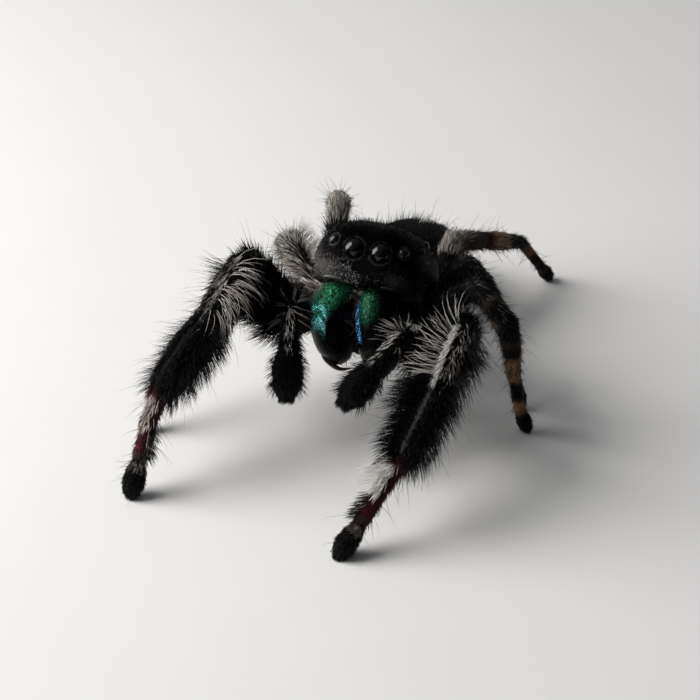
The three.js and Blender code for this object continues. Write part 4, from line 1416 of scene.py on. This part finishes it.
def ring_of_hairs(coat, pair, centre):
    """A fine dark grey ring of hair around an eye."""
    radius = EYES[pair]["radius"]
    axis = eye_axis(pair, centre)
    count = int(RING_HAIRS * radius)
    turn = coat.rng.uniform(0, 2 * math.pi, count)
    spoke = spokes(axis, turn)
    points = centre + axis * radius * 0.2 + spoke * radius * 1.1
    around = np.cross(axis, spoke)
    normals = unit(axis * 0.8 + spoke)
    row = 10.5 + 4 * radius + (centre[0] > 0) * 2
    uv = np.stack((turn / (2 * math.pi), np.full(count, row / UNWRAP_ROWS)), -1)
    roots = Roots(placed(points), normals @ POSE.T, around @ POSE.T, spoke @ POSE.T, turn, uv)
    coat.grow(roots, 0.1, 0.011, (16, 4), 20, 14, colour("grey") * 0.12, bends=1)


# On the abdomen, in its own frame: a triangle that widens to the rear, a spot to each side of the middle
# behind it, and the end of the grey front edge.
TRIANGLE = {"from": 2.3, "to": 3.05, "tip": 2.2, "widening": 0.45}
SPOT = {"aside": 0.5, "along": 3.55, "half_width": 0.18, "half_length": 0.13}
PALE_FRONT = 0.2


def abdomen_tone(points):
    """White markings and a grey front edge on black, with a faint green tint painted as sheen."""
    local = (to_body(points) - np.array(ABDOMEN["front"])) @ ABDOMEN_TURN
    x, y, z = np.abs(local[:, 0]), local[:, 1], local[:, 2]
    # black with a faint green tint, painted as sheen
    tones = np.tile(colour("black") * (0.9, 1.15, 1.0), (len(points), 1))
    triangle = (y > TRIANGLE["from"]) & (y < TRIANGLE["to"])
    triangle &= x < (y - TRIANGLE["tip"]) * TRIANGLE["widening"]
    across, along = (x - SPOT["aside"]) / SPOT["half_width"], (y - SPOT["along"]) / SPOT["half_length"]
    tones[(z > 0.2) & (triangle | (across**2 + along**2 < 1))] = colour("white")
    tones[(y < PALE_FRONT) & (z > -0.35)] = colour("grey")
    return tones


def build_abdomen_coat():
    coat = Coat("coat_abdomen", 41)
    black = colour("black")
    roots = scattered(coat, ABDOMEN_SHELL, 620, (0.01, 0.99))
    tones = abdomen_tone(roots.points)
    coat.grow(roots, 0.24, 0.022, (34, 14), 0, 13, tones, tones * 1.15)
    roots = scattered(coat, ABDOMEN_SHELL, 40, (0.02, 0.98))
    coat.grow(roots, 0.45, 0.013, (56, 36), 0, 16, black, bends=3)
    roots = scattered(coat, UNDERBODY_SHELL, 160, (0.1, 0.9))
    coat.grow(roots, 0.16, 0.018, (40, 20), 0, 20, black, bends=1)
    coat.finish("black_fur", black_hair())


# Bristles of each kind of limb: how many to a square millimetre and how long, and the share of that
# length on its last two lengths.
BRISTLES = {"front": (13, 0.95), "rear": (12, 0.6), "palp": (14, 0.5)}
SHORTER = {"metatarsus": 0.75, "tarsus": 0.4}


def build_bristles():
    coat = Coat("bristles", 51)
    soot, grey, silver = colour("soot"), colour("grey"), colour("silver")
    for limb in LIMBS:
        if limb.segment == "coxa":
            continue
        per_mm2, length = BRISTLES[limb.group]
        length = length * SHORTER.get(limb.segment, 1.0)
        roots = scattered(coat, limb, per_mm2, (0.02, 0.98))
        coat.grow(roots, length, 0.0105, (66, 44), 0, 16, soot, bends=3, ragged=0.45)
    roots = scattered(coat, ABDOMEN_SHELL, 5, (0.02, 0.98))
    coat.grow(roots, 0.85, 0.011, (62, 40), 0, 16, soot, bends=3, ragged=0.4)
    # on the jaws: a pale tuft at the top of the cleft, and bristles on their fronts and inner edges
    for surface in CHELICERAE.values():
        roots = scattered(coat, surface, 260, (0.12, 0.27), (160, 26), snap=False)
        coat.grow(roots, 0.14, 0.012, (40, 10), 0, 20, silver * 0.7, ragged=0.4)
        roots = scattered(coat, surface, 26, (0.12, 0.95), (170, 40), snap=False)
        coat.grow(roots, 0.3, 0.011, (50, 26), 0, 16, grey, bends=3, ragged=0.4)
        roots = scattered(coat, surface, 12, (0.1, 0.95), (90, 100), snap=False)
        coat.grow(roots, 0.22, 0.01, (42, 20), 0, 16, soot, bends=3, ragged=0.4)
    coat.finish("black_fur", black_hair())


# ------------------------------------------------------------------ stage

# In millimetres and degrees, with the lens and sensor of a real camera.
CAMERA = {
    "azimuth": 11.58, "elevation": 30.41, "roll": 1.8, "distance": 55.0, "target": (0.0, 0.0, 1.5),
    "lens": 102.5, "sensor": 36.0, "shift": (-0.0337, -0.0352),
}
WINDOW = {"from": (-0.895, -0.19, 0.40), "distance": 80.0, "width": 56.0, "height": 115.0, "power": 0.174}
ROOM = {"bright_side": (-0.93, 0.3, 0.2), "bright": 1.75, "dim": 0.1}
FLOOR_SIZE = 1600.0


def look_matrix(location, target, roll=0.0):
    back = unit(np.array(location, float) - np.array(target, float))
    right = unit(np.cross((0, 0, 1.0), back))
    up = np.cross(back, right)
    c, s = math.cos(math.radians(roll)), math.sin(math.radians(roll))
    right, up = c * right + s * up, c * up - s * right
    matrix = Matrix(np.column_stack((right, up, back)).tolist()).to_4x4()
    matrix.translation = Vector(np.array(location) * MM)
    return matrix


def set_camera(scene, target):
    azimuth, elevation = math.radians(CAMERA["azimuth"]), math.radians(CAMERA["elevation"])
    level = math.cos(elevation)
    away = np.array((math.sin(azimuth) * level, -math.cos(azimuth) * level, math.sin(elevation)))
    camera = linked("camera", bpy.data.cameras.new("camera"))
    camera.matrix_world = look_matrix(target + away * CAMERA["distance"], target, CAMERA["roll"])
    camera.data.lens = CAMERA["lens"]
    camera.data.sensor_width = CAMERA["sensor"]
    camera.data.shift_x, camera.data.shift_y = CAMERA["shift"]
    camera.data.clip_start = 0.002
    camera.data.clip_end = 10.0
    scene.camera = camera


def set_window(scene, target):
    window = bpy.data.lights.new("window", "AREA")
    window.shape = "RECTANGLE"
    window.size = WINDOW["width"] * MM
    window.size_y = WINDOW["height"] * MM
    window.energy = scene.spider_stage.window_power
    window.color = (1.0, 0.985, 0.965)
    place = target + unit(np.array(WINDOW["from"])) * WINDOW["distance"]
    linked("window", window).matrix_world = look_matrix(place, target)


def set_room(scene):
    """A room that is bright on the window's side and dim on the other and behind the camera."""
    world = bpy.data.worlds.new("studio")
    scene.world = world
    world.use_nodes = True
    nodes, links = world.node_tree.nodes, world.node_tree.links
    background = nodes["Background"]
    background.inputs["Color"].default_value = (0.97, 0.985, 1.0, 1.0)
    way = nodes.new("ShaderNodeTexCoord")
    facing = nodes.new("ShaderNodeVectorMath")
    facing.operation = "DOT_PRODUCT"
    facing.inputs[1].default_value = ROOM["bright_side"]
    level = nodes.new("ShaderNodeMapRange")
    level.inputs["From Min"].default_value = -0.6
    level.inputs["From Max"].default_value = 1.0
    level.inputs["To Min"].default_value = scene.spider_stage.room_light * ROOM["dim"]
    level.inputs["To Max"].default_value = scene.spider_stage.room_light * ROOM["bright"]
    links.new(way.outputs["Generated"], facing.inputs[0])
    links.new(facing.outputs["Value"], level.inputs["Value"])
    links.new(level.outputs["Result"], background.inputs["Strength"])


def lay_floor(pale):
    half = FLOOR_SIZE / 2
    corners = [(-half, -half, 0), (half, -half, 0), (half, half, 0), (-half, half, 0)]
    floor = make_object("floor", corners, [(0, 1, 2, 3)], smooth=False)
    tones = (tuple(c * 0.985 for c in pale), pale)
    finish = mixed_material("pale_floor", 0.35, tones, (0.3, 0.7), Roughness=0.6, Specular_IOR_Level=0.2)
    floor.data.materials.append(finish)


def build_stage():
    scene = bpy.context.scene
    scene.view_settings.view_transform = "Standard"
    target = np.array(CAMERA["target"]) + SHIFT
    set_camera(scene, target)
    set_window(scene, target)
    set_room(scene)
    lay_floor(tuple(scene.spider_stage.floor_colour))


# ------------------------------------------------------------------ settings, operators and panel

class SpiderCoat(bpy.types.PropertyGroup):
    """How full and how long the coat is."""

    density: bpy.props.FloatProperty(
        name="Density", description="Share of the full number of hairs", default=1.0, min=0.05, max=1.5,
        subtype="FACTOR",
    )
    length: bpy.props.FloatProperty(
        name="Length", description="Length of all hairs against their usual length", default=1.0,
        min=0.3, max=1.5, subtype="FACTOR",
    )


class SpiderStage(bpy.types.PropertyGroup):
    """Light and floor."""

    window_power: bpy.props.FloatProperty(
        name="Window", description="Power of the window light", default=WINDOW["power"], min=0.0,
        unit="POWER",
    )
    room_light: bpy.props.FloatProperty(
        name="Room light", description="Strength of the light from the room", default=0.22, min=0.0,
    )
    floor_colour: bpy.props.FloatVectorProperty(
        name="Floor", description="Colour of the floor", default=(0.8, 0.795, 0.79), subtype="COLOR",
        min=0.0, max=1.0,
    )


class SPIDER_OT_skin(bpy.types.Operator):
    """Makes the one skin of head, trunk, legs and feelers"""

    bl_idname = "spider.skin"
    bl_label = "Skin"

    def execute(self, context):
        build_skin()
        return {"FINISHED"}


class SPIDER_OT_eyes(bpy.types.Operator):
    """Makes the polished eyes"""

    bl_idname = "spider.eyes"
    bl_label = "Eyes"

    def execute(self, context):
        build_eyes()
        return {"FINISHED"}


class SPIDER_OT_jaws(bpy.types.Operator):
    """Makes the shining jaws, the fangs and the soft skin above them"""

    bl_idname = "spider.jaws"
    bl_label = "Jaws and fangs"

    def execute(self, context):
        build_chelicerae()
        build_fangs()
        build_membranes()
        return {"FINISHED"}


class SPIDER_OT_dark_coats(bpy.types.Operator):
    """Grows the dark hair of legs and feelers"""

    bl_idname = "spider.dark_coats"
    bl_label = "Dark coats"

    def execute(self, context):
        build_dark_coats()
        return {"FINISHED"}


class SPIDER_OT_pale_coats(bpy.types.Operator):
    """Grows the pale hair of knees, shanks and feelers"""

    bl_idname = "spider.pale_coats"
    bl_label = "Pale coats"

    def execute(self, context):
        build_pale_coats()
        return {"FINISHED"}


class SPIDER_OT_body_coats(bpy.types.Operator):
    """Grows the hair of head, trunk and abdomen"""

    bl_idname = "spider.body_coats"
    bl_label = "Head and abdomen coats"

    def execute(self, context):
        build_head_coat()
        build_face_scales()
        build_abdomen_coat()
        return {"FINISHED"}


class SPIDER_OT_bristles(bpy.types.Operator):
    """Grows the long thin bristles"""

    bl_idname = "spider.bristles"
    bl_label = "Bristles"

    def execute(self, context):
        build_bristles()
        return {"FINISHED"}


class SPIDER_OT_stage(bpy.types.Operator):
    """Sets the floor, the light and the camera"""

    bl_idname = "spider.stage"
    bl_label = "Stage"

    def execute(self, context):
        build_stage()
        return {"FINISHED"}


OPERATORS = (
    SPIDER_OT_skin, SPIDER_OT_eyes, SPIDER_OT_jaws, SPIDER_OT_dark_coats, SPIDER_OT_pale_coats,
    SPIDER_OT_body_coats, SPIDER_OT_bristles, SPIDER_OT_stage,
)


class SPIDER_PT_panel(bpy.types.Panel):
    """Lists the settings and the steps that make the spider"""

    bl_label = "Jumping spider"
    bl_idname = "SPIDER_PT_panel"
    bl_space_type = "VIEW_3D"
    bl_region_type = "UI"
    bl_category = "Spider"

    def draw(self, context):
        layout = self.layout
        scene = context.scene
        layout.prop(scene.spider_coat, "density")
        layout.prop(scene.spider_coat, "length")
        layout.prop(scene.spider_stage, "window_power")
        layout.prop(scene.spider_stage, "room_light")
        layout.prop(scene.spider_stage, "floor_colour")
        for operator in OPERATORS:
            layout.operator(operator.bl_idname)


CLASSES = (SpiderCoat, SpiderStage, *OPERATORS, SPIDER_PT_panel)


def register():
    for cls in CLASSES:
        bpy.utils.register_class(cls)
    bpy.types.Scene.spider_coat = bpy.props.PointerProperty(type=SpiderCoat)
    bpy.types.Scene.spider_stage = bpy.props.PointerProperty(type=SpiderStage)


def unregister():
    del bpy.types.Scene.spider_stage
    del bpy.types.Scene.spider_coat
    for cls in reversed(CLASSES):
        bpy.utils.unregister_class(cls)


def main():
    register()
    for operator in OPERATORS:
        group, name = operator.bl_idname.split(".")
        getattr(getattr(bpy.ops, group), name)()


if __name__ == "__main__":
    main()
